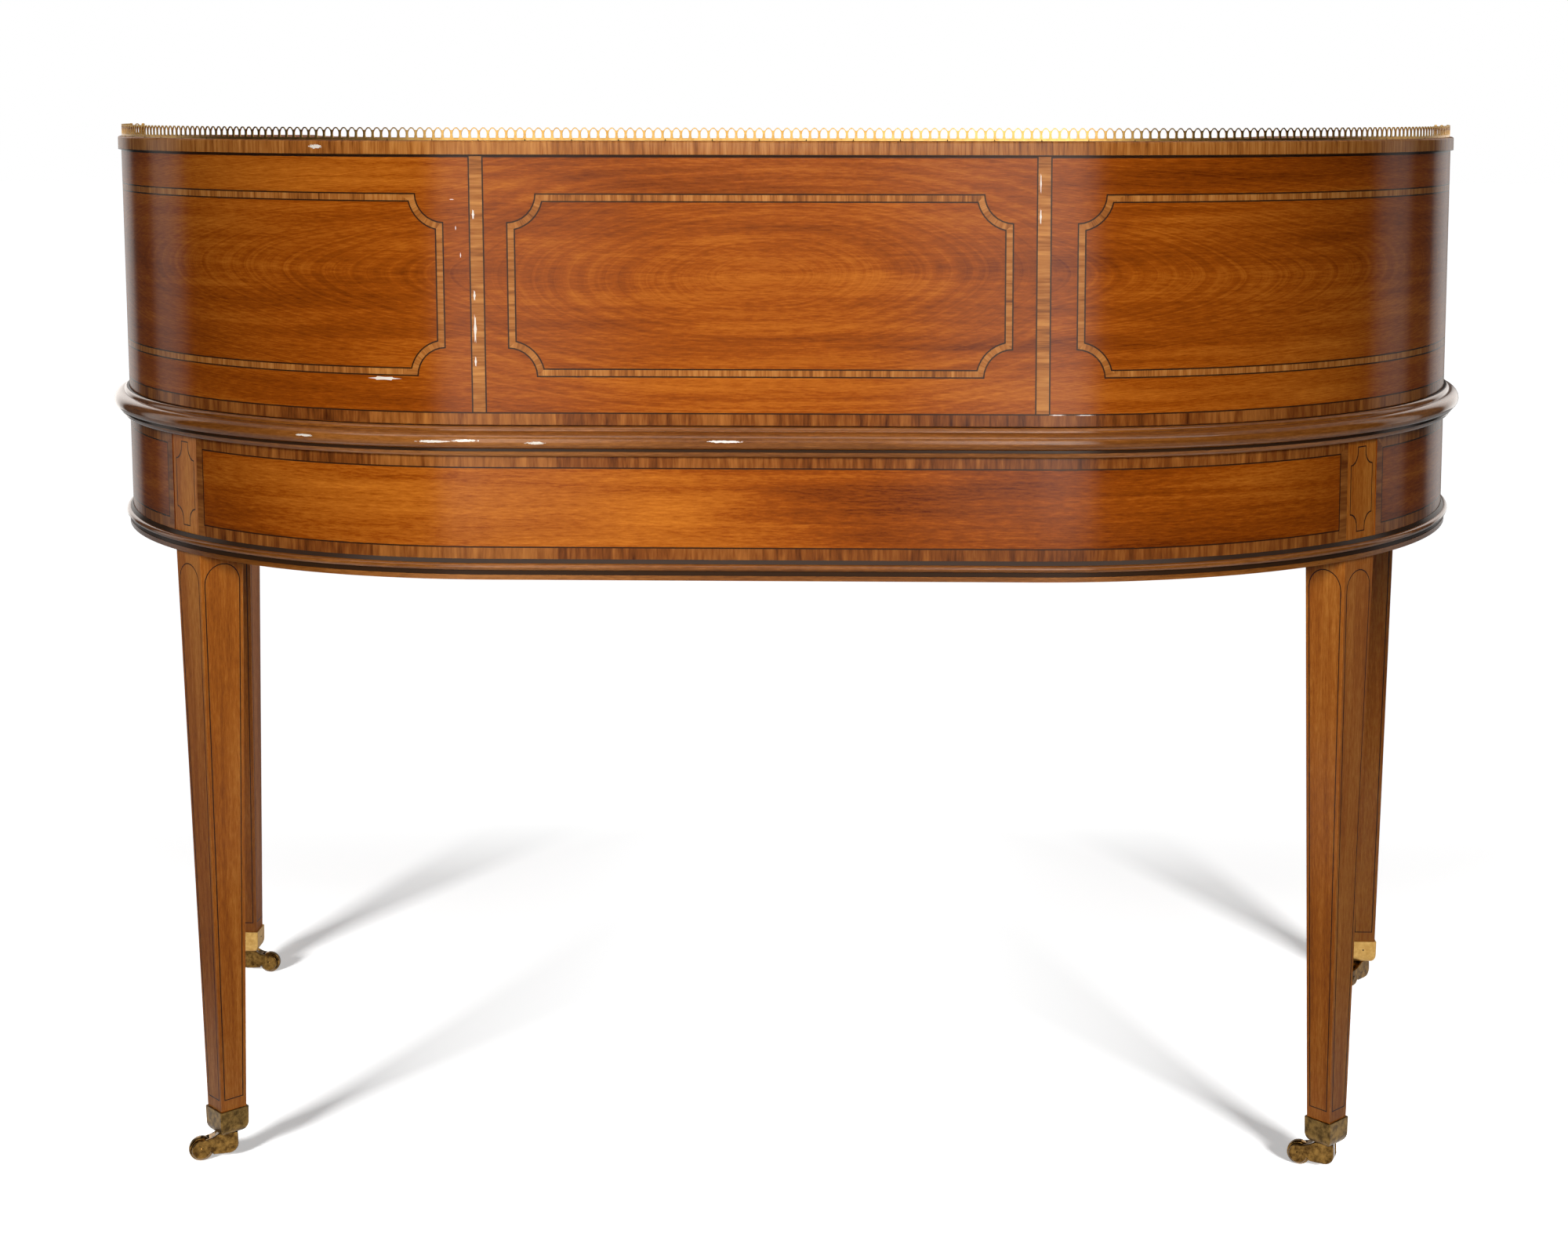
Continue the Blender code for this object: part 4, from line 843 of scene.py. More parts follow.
def board_section():
    """Corners of the section with the finish of the side that follows each of them."""
    def eased(edge, way, degrees, finish):
        lean = math.radians(degrees)
        across, drop = ROUNDING * (1 - math.cos(lean)), ROUNDING * (1 - math.sin(lean))
        return (edge + way * across, BOARD_HIGH - drop, finish)

    # the strip at the foot of the outer edge is painted shade under the board
    points = [(BOARD_OUT, BOARD_LOW, "stringing"), (BOARD_OUT, BOARD_LOW + UNDER_EDGE_SHADE, "crossband_edge")]
    points += [eased(BOARD_OUT, -1, 22.5 * k, "crossband_edge" if k < 4 else "crossband") for k in range(5)]
    points += [(BOARD_OUT - FACE_BAND, BOARD_HIGH, "stringing"),
               (BOARD_OUT - FACE_LINE, BOARD_HIGH, "satinwood"),
               (BOARD_IN + FACE_LINE, BOARD_HIGH, "stringing"),
               (BOARD_IN + FACE_BAND, BOARD_HIGH, "crossband")]
    points += [eased(BOARD_IN, 1, 90 - 22.5 * k, "crossband") for k in range(5)]
    # the strip at the foot of the inner edge is painted shade under the board as well
    return points + [(BOARD_IN, BOARD_LOW + UNDER_EDGE_SHADE, "stringing"), (BOARD_IN, BOARD_LOW, "satinwood")]


def board_place(share, out):
    """Place on the board's bend; share runs from -1 to 1 between the two square ends."""
    radius = CORNER_RADIUS + out
    last = math.acos((BOARD_FRONT_Y - CENTRE_Y) / radius)
    side = math.copysign(1, share)
    split = STRAIGHT_HALF / (STRAIGHT_HALF + last * CORNER_RADIUS)
    if abs(share) <= split:
        return Vector((share / split * STRAIGHT_HALF, CENTRE_Y + radius, 0)), Vector((0, 1, 0))
    angle = (abs(share) - split) / (1 - split) * last
    look = Vector((side * math.sin(angle), math.cos(angle), 0))
    return Vector((side * STRAIGHT_HALF, CENTRE_Y, 0)) + look * radius, look


section = board_section()
sketch = [point[:2] for point in section]
looks, runs = outline_looks(sketch, True), runs_of(sketch)
length = STRAIGHT_HALF + BOARD_TURN * CORNER_RADIUS
shares = [1 - i / BOARD_STEPS for i in range(2 * BOARD_STEPS + 1)]
shares = sorted(shares + [STRAIGHT_HALF / length, -STRAIGHT_HALF / length], reverse=True)


def board_corner(share, k, end):
    out, z = sketch[(k + end) % len(sketch)]
    spot, look = board_place(share, out)
    return spot + UP * z, tilted(look, looks[k][end]), (share * length, runs[k + end])


bench = Bench()
bench.loft(shares, range(len(section)), board_corner, lambda k: section[k][2])
for share in (1, -1):
    cap = [board_corner(share, k, 0)[0] for k in range(len(section))]
    bench.flat(cap, TOWARDS_SITTER, [(p.x, p.z) for p in cap], "crossband")
bench.piece("top_board_veneers", "desk", "top_board")

# %% [markdown]
# ## Legs
# Each leg is square and tapers below the carcase. A dark line runs down near every edge and
# closes in a round arch at the top; the block above has a cartouche of its own. Each of the
# four faces is a flat drawing, and narrow strips between them ease the sharp edges.

# %% The drawing of a leg
LEG_FOOT, EASE, LEG_LINE, LEG_LINE_INSET = 0.0265, 0.0006, 0.0011, 0.0035
LINE_ABOVE_CAP, LINE_BELOW_BLOCK = 0.011, 0.012
BLOCK_MARGIN, BLOCK_SIDE, NECK_HALF, NECK_RISE, SHOULDER_RISE = 0.006, 0.0055, 0.0066, 0.004, 0.013
FOOT_Z, CAP_TOP = (corner.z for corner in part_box("cap_rear_left"))
LEG_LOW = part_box("leg_rear_left")[0].z
TAPER = math.atan((LEG_WIDTH - LEG_FOOT) / 2 / (CARCASE_Z - FOOT_Z))


def leg_half(z, inset=EASE):
    """Half the width of a leg's face at a height."""
    share = min(1.0, (z - FOOT_Z) / (CARCASE_Z - FOOT_Z))
    return (LEG_FOOT + share * (LEG_WIDTH - LEG_FOOT)) / 2 - inset


def arched(inset, low, high, steps=12):
    """Outline of the long line of a leg: square at the foot and round at the head."""
    foot, head = leg_half(low, inset), leg_half(high - LEG_WIDTH / 2, inset)
    turns = [math.pi * step / steps for step in range(steps + 1)]
    arch = [(head * math.cos(turn), high - head * (1 - math.sin(turn))) for turn in turns]
    return [(foot, low), *arch, (-foot, low)]


def block_line(inset):
    """Cartouche on the block: narrow necks at its head and foot with hollow shoulders."""
    low, high = LOWER_TOP + BLOCK_MARGIN + inset, FRIEZE_TOP - BLOCK_MARGIN - inset
    half, neck = LEG_WIDTH / 2 - BLOCK_SIDE - inset, NECK_HALF - inset
    right = [(neck, low)]
    for step in range(6):
        turn = math.pi / 2 * step / 5
        across, rise = (half - neck) * (1 - math.cos(turn)), SHOULDER_RISE * math.sin(turn)
        right.append((neck + across, low + NECK_RISE + rise))
    return mirrored(right + [(x, low + high - z) for x, z in reversed(right)])


def leg_regions():
    """Drawing of one face, from under the cap's rim to the top of the block."""
    low, high = CAP_TOP + LINE_ABOVE_CAP, CARCASE_Z - LINE_BELOW_BLOCK
    outline = mirrored([(leg_half(z), z) for z in (LEG_LOW, CARCASE_Z, FRIEZE_TOP)])
    return [(outline, "satinwood_leg"), (arched(LEG_LINE_INSET, low, high), "stringing"),
            (arched(LEG_LINE_INSET + LEG_LINE, low + LEG_LINE, high - LEG_LINE), "satinwood_leg"),
            (block_line(0.0), "stringing"), (block_line(LEG_LINE), "satinwood_leg")]


print("a leg tapers to", round(leg_half(LEG_LOW, 0) / leg_half(CARCASE_Z, 0), 3), "of its width")

# %% [markdown]
# The same drawing is put on each face and leaned to the taper. The grain starts at another
# place on every face, so no two faces show the same figure.

# %% Four legs
LEGS = {"front_left": 0.0, "front_right": 0.0, "rear_left": LEG_ANGLE, "rear_right": LEG_ANGLE}


def facing(turn, face):
    """Way out of a face of a turned square leg, and the way across it."""
    angle = turn + face * math.pi / 2
    out = Vector((math.cos(angle), math.sin(angle), 0))
    return out, Vector((-out.y, out.x, 0))


def leg(name, turn):
    bench, regions = Bench(), leg_regions()
    spots, triangles, shown, middles = cut_drawing(regions)
    centre = middle_of(name)
    shift = 0.37 * len(name) + 1.7 * centre.x

    def put(face, x, z):
        """Place on a face at a way across and a height, and the face's direction there."""
        look, across = facing(turn, face)
        spot = Vector((centre.x, centre.y, z)) + look * leg_half(z, 0) + across * x
        lean = TAPER if z < CARCASE_Z - 1e-6 else 0.0
        return spot, (look * math.cos(lean) - UP * math.sin(lean)).normalized()

    for face in range(4):
        for triangle, number, middle in zip(triangles, shown, middles):
            corners = [put(face, *spots[i])[0] for i in triangle]
            grain = [(spots[i].y + shift + face, spots[i].x + 0.1 * face) for i in triangle]
            bench.face(corners, [put(face, 0, middle[1])[1]] * 3, grain, regions[number][1])
        ends = ((face, 1), ((face + 1) % 4, -1))
        for low, high in ((LEG_LOW, CARCASE_Z), (CARCASE_Z, FRIEZE_TOP)):
            corners = [put(which, sign * leg_half(z), z)[0] for z, order in ((low, ends), (high, ends[::-1]))
                       for which, sign in order]
            near, far = (put(which, 0, (low + high) / 2)[1] for which, _ in ends)
            grain = [(z + shift, 0.02) for z in (low, low, high, high)]
            bench.face(corners, [near, far, far, near], grain, "satinwood_leg")
    for z, towards in ((LEG_LOW, -UP), (FRIEZE_TOP, UP)):
        end = [put(face, sign * leg_half(z), z)[0] for face in range(4) for sign in (-1, 1)]
        bench.flat(end, towards, [(p.x, p.y) for p in end], "satinwood_leg")
    bench.piece(name + "_veneers", "desk", name)


for label, turn in LEGS.items():
    leg("leg_" + label, turn)

# %% [markdown]
# ## The pierced gallery
# A cast brass arcade runs round the top board: a low rail, slim posts and pointed arches, a
# hundred and more of them. Modelling them one by one would be slow and wrapping a long strip
# would bend the posts. Geometry Nodes set one small arch on every point of a resampled path and
# weld the joints, so a change of path or pitch remakes the whole gallery.

# %% A node tree that repeats a piece along a path
REPEAT_INPUTS = {"Path": "Object", "Part": "Object", "Count": "Int", "End Margin": "Float", "Weld": "Float",
                 "Finish": "Material"}


def repeat_tree():
    group = bpy.data.node_groups.new("repeat_along_path", "GeometryNodeTree")
    for name, kind in REPEAT_INPUTS.items():
        group.interface.new_socket(name=name, in_out="INPUT", socket_type="NodeSocket" + kind)
    group.interface.new_socket(name="Geometry", in_out="OUTPUT", socket_type="NodeSocketGeometry")
    tree = Tree(group)
    given = tree.node("NodeGroupInput")
    path = tree.node("GeometryNodeObjectInfo", given["Path"])["Geometry"]
    part = tree.node("GeometryNodeObjectInfo", given["Part"], True)["Geometry"]
    rest = tree.sums("SUBTRACT", tree.node("GeometryNodeCurveLength", path)[0], given["End Margin"])
    trimmed = tree.node("GeometryNodeTrimCurve", path, mode="LENGTH")[0]
    ends = [socket for socket in trimmed.node.inputs if socket.enabled and socket.name in ("Start", "End")]
    for end, value in zip(ends, (given["End Margin"], rest)):
        tree.join(value, end)
    points = tree.node("GeometryNodeResampleCurve", trimmed, named={"Count": given["Count"]})[0]
    tangent = {"Vector": tree.node("GeometryNodeInputTangent")[0]}
    turn = tree.node("FunctionNodeAlignRotationToVector", named=tangent, axis="X", pivot_axis="Z")[0]
    put = tree.node("GeometryNodeInstanceOnPoints", points, named={"Instance": part, "Rotation": turn})[0]
    real = tree.node("GeometryNodeRealizeInstances", put)[0]
    welded = tree.node("GeometryNodeMergeByDistance", real, named={"Distance": given["Weld"]})[0]
    dressed = tree.node("GeometryNodeSetMaterial", welded, named={"Material": given["Finish"]})[0]
    tree.node("NodeGroupOutput", dressed)
    return group


def repeated(name, **values):
    """Run the tree with the given inputs and keep the result as a plain mesh on the desk."""
    holder = placed(name, bpy.data.meshes.new(name))
    modifier = holder.modifiers.new("repeat", "NODES")
    modifier.node_group = REPEAT
    for item in REPEAT.interface.items_tree:
        if item.in_out == "INPUT":
            modifier[item.identifier] = values[item.name.lower().replace(" ", "_")]
    bpy.context.view_layer.update()
    mesh = bpy.data.meshes.new_from_object(holder.evaluated_get(bpy.context.evaluated_depsgraph_get()))
    holder.modifiers.clear()
    holder.data = mesh
    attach(holder, "desk")
    print(name, "repeats", values["count"], "times and has", len(mesh.polygons), "faces")
    return holder


REPEAT = repeat_tree()
print("the tree has the inputs", ", ".join(REPEAT_INPUTS))

# %% [markdown]
# One bay of the arcade reaches from the middle of one post to the middle of the next. It stays
# open where it meets its neighbours, so the weld leaves no walls inside the strip.

# %% The arch and the path of the gallery
BOARD_TOP = BOARD_HIGH + GAP
GALLERY_IN, GALLERY_END_Y, LINE_STEPS = 0.0015, BOARD_FRONT_Y + 0.006, 400
PITCH, RAIL, VALLEY, PEAK, CROWN = 0.00812, 0.0022, 0.0088, 0.0117, 0.0106
STRIP, HOLE_LOW, HOLE_WIDE = 0.0012, 0.0026, 0.0031


def as_mesh(name, shape):
    mesh = bpy.data.meshes.new(name)
    shape.to_mesh(mesh)
    shape.free()
    return mesh


def arch_mesh(pitch):
    """One bay of the arcade between the middles of two posts, open where it meets the next."""
    half = pitch / 2
    rim_line = mirrored([(half, 0), (half, VALLEY), (half * 0.72, VALLEY + 0.0004),
                         (half * 0.42, PEAK - 0.0010), (half * 0.16, PEAK - 0.0002)])
    hole_line = mirrored([(HOLE_LOW, RAIL), (HOLE_WIDE, RAIL + 0.0025), (HOLE_WIDE * 0.98, RAIL + 0.0048),
                          (HOLE_WIDE * 0.72, CROWN - 0.0016), (HOLE_WIDE * 0.33, CROWN - 0.0003)])
    shape = bmesh.new()
    (outer_a, hole_a), (outer_b, hole_b) = [
        [[shape.verts.new((x, y, z)) for x, z in line] for line in (rim_line, hole_line)]
        for y in (-STRIP / 2, STRIP / 2)]
    count = len(rim_line)
    strips = [(outer_a, hole_a), (outer_b, hole_b), (hole_a, hole_b), (outer_a, outer_b)]
    for near, far in strips:
        for k in range(count):
            if (near, far) != strips[3] or k not in (0, count - 2):
                after = (k + 1) % count
                shape.faces.new((near[k], near[after], far[after], far[k]))
    bmesh.ops.recalc_face_normals(shape, faces=shape.faces)
    return as_mesh("gallery_arch", shape)


def gallery_line():
    """Fine line of the gallery from its right end round the back to its left end."""
    radius = CORNER_RADIUS - GALLERY_IN
    last = math.acos((GALLERY_END_Y - CENTRE_Y) / radius)
    turns = [last * (1 - i / LINE_STEPS) for i in range(LINE_STEPS + 1)]
    half = [(STRAIGHT_HALF + radius * math.sin(turn), CENTRE_Y + radius * math.cos(turn)) for turn in turns]
    return [Vector((x, y, BOARD_TOP)) for x, y in mirrored(half)]


def as_curve(name, points):
    data = bpy.data.curves.new(name, "CURVE")
    data.dimensions = "3D"
    spline = data.splines.new("POLY")
    spline.points.add(len(points) - 1)
    for point, spot in zip(spline.points, points):
        point.co = (*spot, 1)
    return placed(name, data)


def path_length(points):
    return sum((b - a).length for a, b in zip(points, points[1:]))


def closed(mesh):
    """Fill the open ends of a mesh, turn its faces outwards and count the edges that stay open."""
    shape = bmesh.new()
    shape.from_mesh(mesh)
    bmesh.ops.holes_fill(shape, edges=[edge for edge in shape.edges if edge.is_boundary], sides=8)
    bmesh.ops.recalc_face_normals(shape, faces=shape.faces)
    still_open = sum(1 for edge in shape.edges if not edge.is_manifold)
    shape.to_mesh(mesh)
    shape.free()
    return still_open


print("a bay is about", PITCH * 1000, "mm wide and", PEAK * 1000, "mm high")

# %% [markdown]
# The length of the path decides how many whole bays fit on it, and the pitch is then the exact
# share of one bay. The run starts and ends half a bay inside the ends of the path.

# %% The arcade
WELD = 0.00005
line = gallery_line()
arches = round(path_length(line) / PITCH)
pitch = path_length(line) / arches
HELPERS = [as_curve("gallery_line", line), placed("gallery_arch", arch_mesh(pitch))]
gallery = repeated("gallery_arcade", path=HELPERS[0], part=HELPERS[1], count=arches, end_margin=pitch / 2,
                   weld=WELD, finish=FINISHES["brass"])
print("open edges:", closed(gallery.data))
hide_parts("brass_gallery")

# %% [markdown]
# The arcade ends in a short return on each side, closed by slim pillars. Dark pins that hold the
# strip down stand in every fifth opening. They are one more run of the same node tree, with a
# pin for the part and a fifth of the count.

# %% Returns and pins of the gallery
RETURN, PILLAR_HALF, PILLAR_SUNK = 0.0125, 0.0013, 0.0002
BAYS_PER_PIN, PIN_FOOT, PIN_TOP, PIN_TALL, PIN_RISE, FINE_WELD = 5, 0.0009, 0.0006, 0.0022, 0.0009, 0.00001


def pillar(bench, centre, half, low, high, finish):
    """Square pillar whose head is eased by a small step."""
    levels = ((half, low), (half, high - half * 0.6), (half * 0.6, high))
    signs = ((-1, -1), (1, -1), (1, 1), (-1, 1))
    loops = [[centre + Vector((sx * r, sy * r, z)) for sx, sy in signs] for r, z in levels]
    for a, b in zip(loops, loops[1:]):
        for k in range(4):
            face = [a[k], a[(k + 1) % 4], b[(k + 1) % 4], b[k]]
            away = sum(face, Vector()) / 4 - centre
            bench.flat(face, Vector((away.x, away.y, 0)), None, finish)
    bench.flat(loops[0], -UP, None, finish)
    bench.flat(loops[-1], UP, None, finish)


for label, side in SIDES.items():
    corner = Vector((side * line[0].x, line[0].y, 0))
    inner = corner - Vector((side * RETURN, 0, 0))
    arch = arch_mesh(pitch)
    arch.transform(Matrix.Translation((corner + inner) / 2 + UP * BOARD_TOP))
    closed(arch)
    arch.materials.append(FINISHES["brass"])
    made = placed("gallery_return_" + label, arch)
    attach(made, "desk")
    bench = Bench()
    for spot in (corner, inner):
        pillar(bench, spot, PILLAR_HALF, BOARD_TOP - PILLAR_SUNK, BOARD_TOP + PEAK, "brass")
    bench.piece("gallery_pillars_" + label, "desk", slot="brass")

pin = bmesh.new()
bmesh.ops.create_cone(pin, cap_ends=True, segments=8, radius1=PIN_FOOT, radius2=PIN_TOP, depth=PIN_TALL,
                      matrix=Matrix.Translation((0, 0, PIN_RISE)))
HELPERS.append(placed("gallery_pin", as_mesh("gallery_pin", pin)))
pins = repeated("gallery_pins", path=HELPERS[0], part=HELPERS[2], count=arches // BAYS_PER_PIN,
                end_margin=BAYS_PER_PIN / 2 * pitch, weld=FINE_WELD, finish=FINISHES["brass_aged"])

# %% [markdown]
# ## Turned and bent metal
# Knobs, wheels, posts and plates are outlines turned about an axis, and a bail is a round rod
# carried along a bent line. Both helpers work out the true direction at every corner, so small
# parts stay smooth with few faces.

# %% Turning and bending
def turned(bench, profile, place, finish, steps=20, oval=(0.0, 0.0)):
    """Turn (radius, height) pairs about the Z axis of a placing matrix.

    With oval half-axes the radius counts outwards from that oval instead of from the axis.
    """
    looks, rotation = outline_looks(profile, False), place.to_3x3()
    wide, high = oval

    def corner(step, k, end):
        angle = 2 * math.pi * (step % steps) / steps
        c, s = math.cos(angle), math.sin(angle)
        out, z = profile[k + end]
        away = Vector((c * (high or 1), s * (wide or 1), 0)).normalized()
        spot = place @ Vector(((wide + out) * c, (high + out) * s, z))
        return spot, rotation @ tilted(away, looks[k][end]), (angle * max(out, 0.002), z)

    bench.loft(range(steps + 1), range(len(profile) - 1), corner, lambda k: finish)
    for k, end, towards in ((0, 0, -UP), (len(profile) - 2, 1, UP)):
        if wide + profile[k + end][0] > 1e-6:
            bench.flat([corner(step, k, end)[0] for step in range(steps)], rotation @ towards, None, finish)


def swept(bench, path, radii, side, finish, steps=12):
    """Round rod along a bent line in one plane; side looks straight out of that plane."""
    ahead = [(after - before).normalized() for before, after in zip([path[0], *path], [*path[1:], path[-1]])]

    def corner(step, k, end):
        angle = 2 * math.pi * (step % steps) / steps
        look = ahead[k + end].cross(side) * math.cos(angle) + side * math.sin(angle)
        return path[k + end] + look * radii[k + end], look, (0, 0)

    bench.loft(range(steps + 1), range(len(path) - 1), corner, lambda k: finish)
    for k, end, away in ((0, 0, path[0] - path[1]), (len(path) - 2, 1, path[-1] - path[-2])):
        bench.flat([corner(step, k, end)[0] for step in range(steps)], away, None, finish)


def standing(seat, outward):
    """Placing matrix with its Z axis along outward."""
    return Matrix.Translation(seat) @ Vector(outward).to_track_quat("Z", "Y").to_matrix().to_4x4()


print("the axis of a part on the sitter's side is", tuple(standing((0, 0, 0), TOWARDS_SITTER).col[2].xyz))

# %% [markdown]
# ## The sitter's side
# The photo shows the desk from behind, so this side follows desks of the same type. Each drawer
# front and lid is a plain box with a veneered face: a thin sheet with a crossband between two
# fine lines. The sheet is its own piece and rides on the body of its drawer.

# %% Veneers on drawer fronts and lids
LIFT, SHEET, FRONT_MARGIN, DEEP_FRONT, LID_PLAY = 0.00015, 0.0004, 0.0002, 1.3, 0.0007
BANK_DRAWERS = [f"bank_drawer_{tier}_{label}" for tier in ("upper", "lower") for label in SIDES]
FRIEZE_DRAWERS = ["centre_drawer", "left_drawer", "right_drawer"]
BANK_FRONT_Y = BACK_Y - SUPER_DEPTH


def veneered(body, edges, lay, field_grain=along, band=FRONT_BAND):
    """Thin sheet with a crossband and two lines on a flat face."""
    regions = banding(lambda inset: rectangle(*edges, inset), band, STRING * 0.8, framed(*edges),
                      "satinwood", field_grain)
    bench = Bench()
    inlay(bench, regions, lay, SHEET)
    bench.piece(body + "_veneer", body, slot="satinwood")


def front_lay(face_y, lift=LIFT):
    """Lay a drawing of (x, z) on a front that looks at the sitter."""
    return lambda u, v, depth: (Vector((u, face_y - lift + depth, v)), TOWARDS_SITTER)


fronts = [(name, BANK_FRONT_Y, 1.0) for name in BANK_DRAWERS]
fronts += [("arm_drawer_" + label, ARM_FRONT_Y, 1.0) for label in SIDES]
fronts += [(name, FRONT_Y, DEEP_FRONT) for name in FRIEZE_DRAWERS]
for name, face_y, wider in fronts:
    low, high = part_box(name)
    edges = (low.x + FRONT_MARGIN, high.x - FRONT_MARGIN, low.z + FRONT_MARGIN, high.z - FRONT_MARGIN)
    veneered(name, edges, front_lay(face_y), band=FRONT_BAND * wider)

SLOPE_ANGLE = math.atan2(NOSE_Z - ARM_Z, NOSE_Y - SLOPE_END_Y)
UP_SLOPE = Vector((0, math.cos(SLOPE_ANGLE), math.sin(SLOPE_ANGLE)))
OFF_SLOPE = Vector((0, -math.sin(SLOPE_ANGLE), math.cos(SLOPE_ANGLE)))
SLOPE_FOOT = Vector((0, SLOPE_END_Y, ARM_Z))
SLOPE_LENGTH = (NOSE_Y - SLOPE_END_Y - LID_PLAY) / math.cos(SLOPE_ANGLE)


def slope_lay(u, v, depth):
    return SLOPE_FOOT + Vector((u, 0, 0)) + UP_SLOPE * v + OFF_SLOPE * (LIFT - depth), OFF_SLOPE


for label in SIDES:
    low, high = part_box("arm_lid_" + label)
    edges = (low.x + FRONT_MARGIN, high.x - FRONT_MARGIN, FRONT_MARGIN, SLOPE_LENGTH)
    veneered("arm_lid_" + label, edges, slope_lay, upright)

# %% [markdown]
# The bowed cupboard doors are drawn flat like the back and bent to the arc they lie on. Their
# inner skin ends a little earlier at the free edge, a bevel that lets the door swing past its
# neighbour. The panel repeats the hollow corners of the back.

# %% Bowed doors
DOOR_THICKNESS, DOOR_GAP, HEAD_BACK_Y, BANK_OUTER = 0.012, 0.0006, -0.040, 0.257
DOOR_HOLLOW, DOOR_MARGIN, DOOR_HEADROOM, DOOR_FOLDS = 0.020, 0.026, 0.030, 30
DOOR_RADIUS = CORNER_RADIUS - SUPER_DEPTH
DOOR_REAR = DOOR_RADIUS + DOOR_THICKNESS
HINGE_Y = HEAD_BACK_Y + DOOR_GAP
DOOR_LOW, DOOR_HIGH = (corner.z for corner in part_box("cupboard_door_left"))
face_turns = (math.asin((BANK_OUTER + DOOR_GAP - STRAIGHT_HALF) / DOOR_RADIUS),
              math.acos((HINGE_Y - CENTRE_Y) / DOOR_RADIUS))
swing = 2 * DOOR_RADIUS * math.sin((face_turns[1] - face_turns[0]) / 2)
between = math.acos((DOOR_REAR ** 2 + DOOR_RADIUS ** 2 - swing ** 2) / (2 * DOOR_REAR * DOOR_RADIUS))
rear_turns = (face_turns[1] - between, math.acos((HINGE_Y - CENTRE_Y) / DOOR_REAR))
DOOR_WIDE = DOOR_RADIUS * (face_turns[1] - face_turns[0])
HINGE_X = STRAIGHT_HALF + DOOR_RADIUS * math.sin(face_turns[1])


def door_lay(side):
    """Lay a drawing on the door of one side; its first number runs from the free edge."""
    def lay(u, v, depth):
        start, end = face_turns if depth == 0 else rear_turns
        angle = start + u / DOOR_WIDE * (end - start)
        away = Vector((side * math.sin(angle), math.cos(angle), 0))
        return Vector((side * STRAIGHT_HALF, CENTRE_Y, v)) + away * (DOOR_RADIUS + depth), -away
    return lay


for label, side in SIDES.items():
    edges = (0.0, DOOR_WIDE, DOOR_LOW, DOOR_HIGH)
    inner = (DOOR_MARGIN, DOOR_WIDE - DOOR_MARGIN, DOOR_LOW + DOOR_HEADROOM, DOOR_HIGH - DOOR_HEADROOM)
    regions = [(rectangle(*edges), "stringing", along), (rectangle(*edges, STRING), "satinwood", upright)]
    regions += panel(inner, DOOR_HOLLOW, "satinwood", upright, FRONT_BAND)
    bench = Bench()
    folds = [DOOR_WIDE * step / DOOR_FOLDS for step in range(1, DOOR_FOLDS)]
    inlay(bench, regions, door_lay(side), DOOR_THICKNESS, folds, "satinwood")
    body = "cupboard_door_" + label
    bench.piece(body + "_veneers", body, body, slot="satinwood")

# %% [markdown]
# ## Brass on the sitter's side
# Small turned knobs pull the little drawers, doors and lids. Doors and lids turn on slim
# knuckles, and each frieze drawer has a keyhole in an oval plate.

# %% Knobs, hinges and keyholes
KNOB = [(0.0, -0.0005), (0.0054, -0.0005), (0.0054, 0.0006), (0.0049, 0.0011), (0.0038, 0.0013),
        (0.00345, 0.0022), (0.0034, 0.0045), (0.0042, 0.0052), (0.0056, 0.0062), (0.0065, 0.0076),
        (0.00672, 0.0091), (0.0063, 0.0107), (0.0051, 0.0121), (0.0036, 0.0128), (0.0018, 0.01315),
        (0.0, 0.0133)]
KNUCKLE = [(0.0, 0.0), (0.0012, 0.0004), (0.0015, 0.0012), (0.0012, 0.0019), (0.0018, 0.0022),
           (0.0018, 0.0338), (0.0012, 0.0341), (0.0015, 0.0348), (0.0012, 0.0356), (0.0, 0.0360)]
DOOR_KNOB_TURN, LID_KNOB_INSET = math.radians(8), 0.022
KEYHOLE_DROP, KEYHOLE_LIFT, KEYHOLE_THICK = 0.0165, 0.0007, 0.0009
DOOR_KNUCKLES, LID_KNUCKLES = (0.032, 0.068), (0.024, 0.060)
LID_LINE = Vector((0, NOSE_Y - 0.0005, NOSE_Z - 0.0003))


def knob(body, seat, outward):
    bench = Bench()
    turned(bench, KNOB, standing(seat, outward), "brass", 18)
    bench.piece("knob_" + body, body, slot="brass")


def front_knob(name, face_y):
    middle = middle_of(name)
    knob(name, (middle.x, face_y, middle.z), TOWARDS_SITTER)


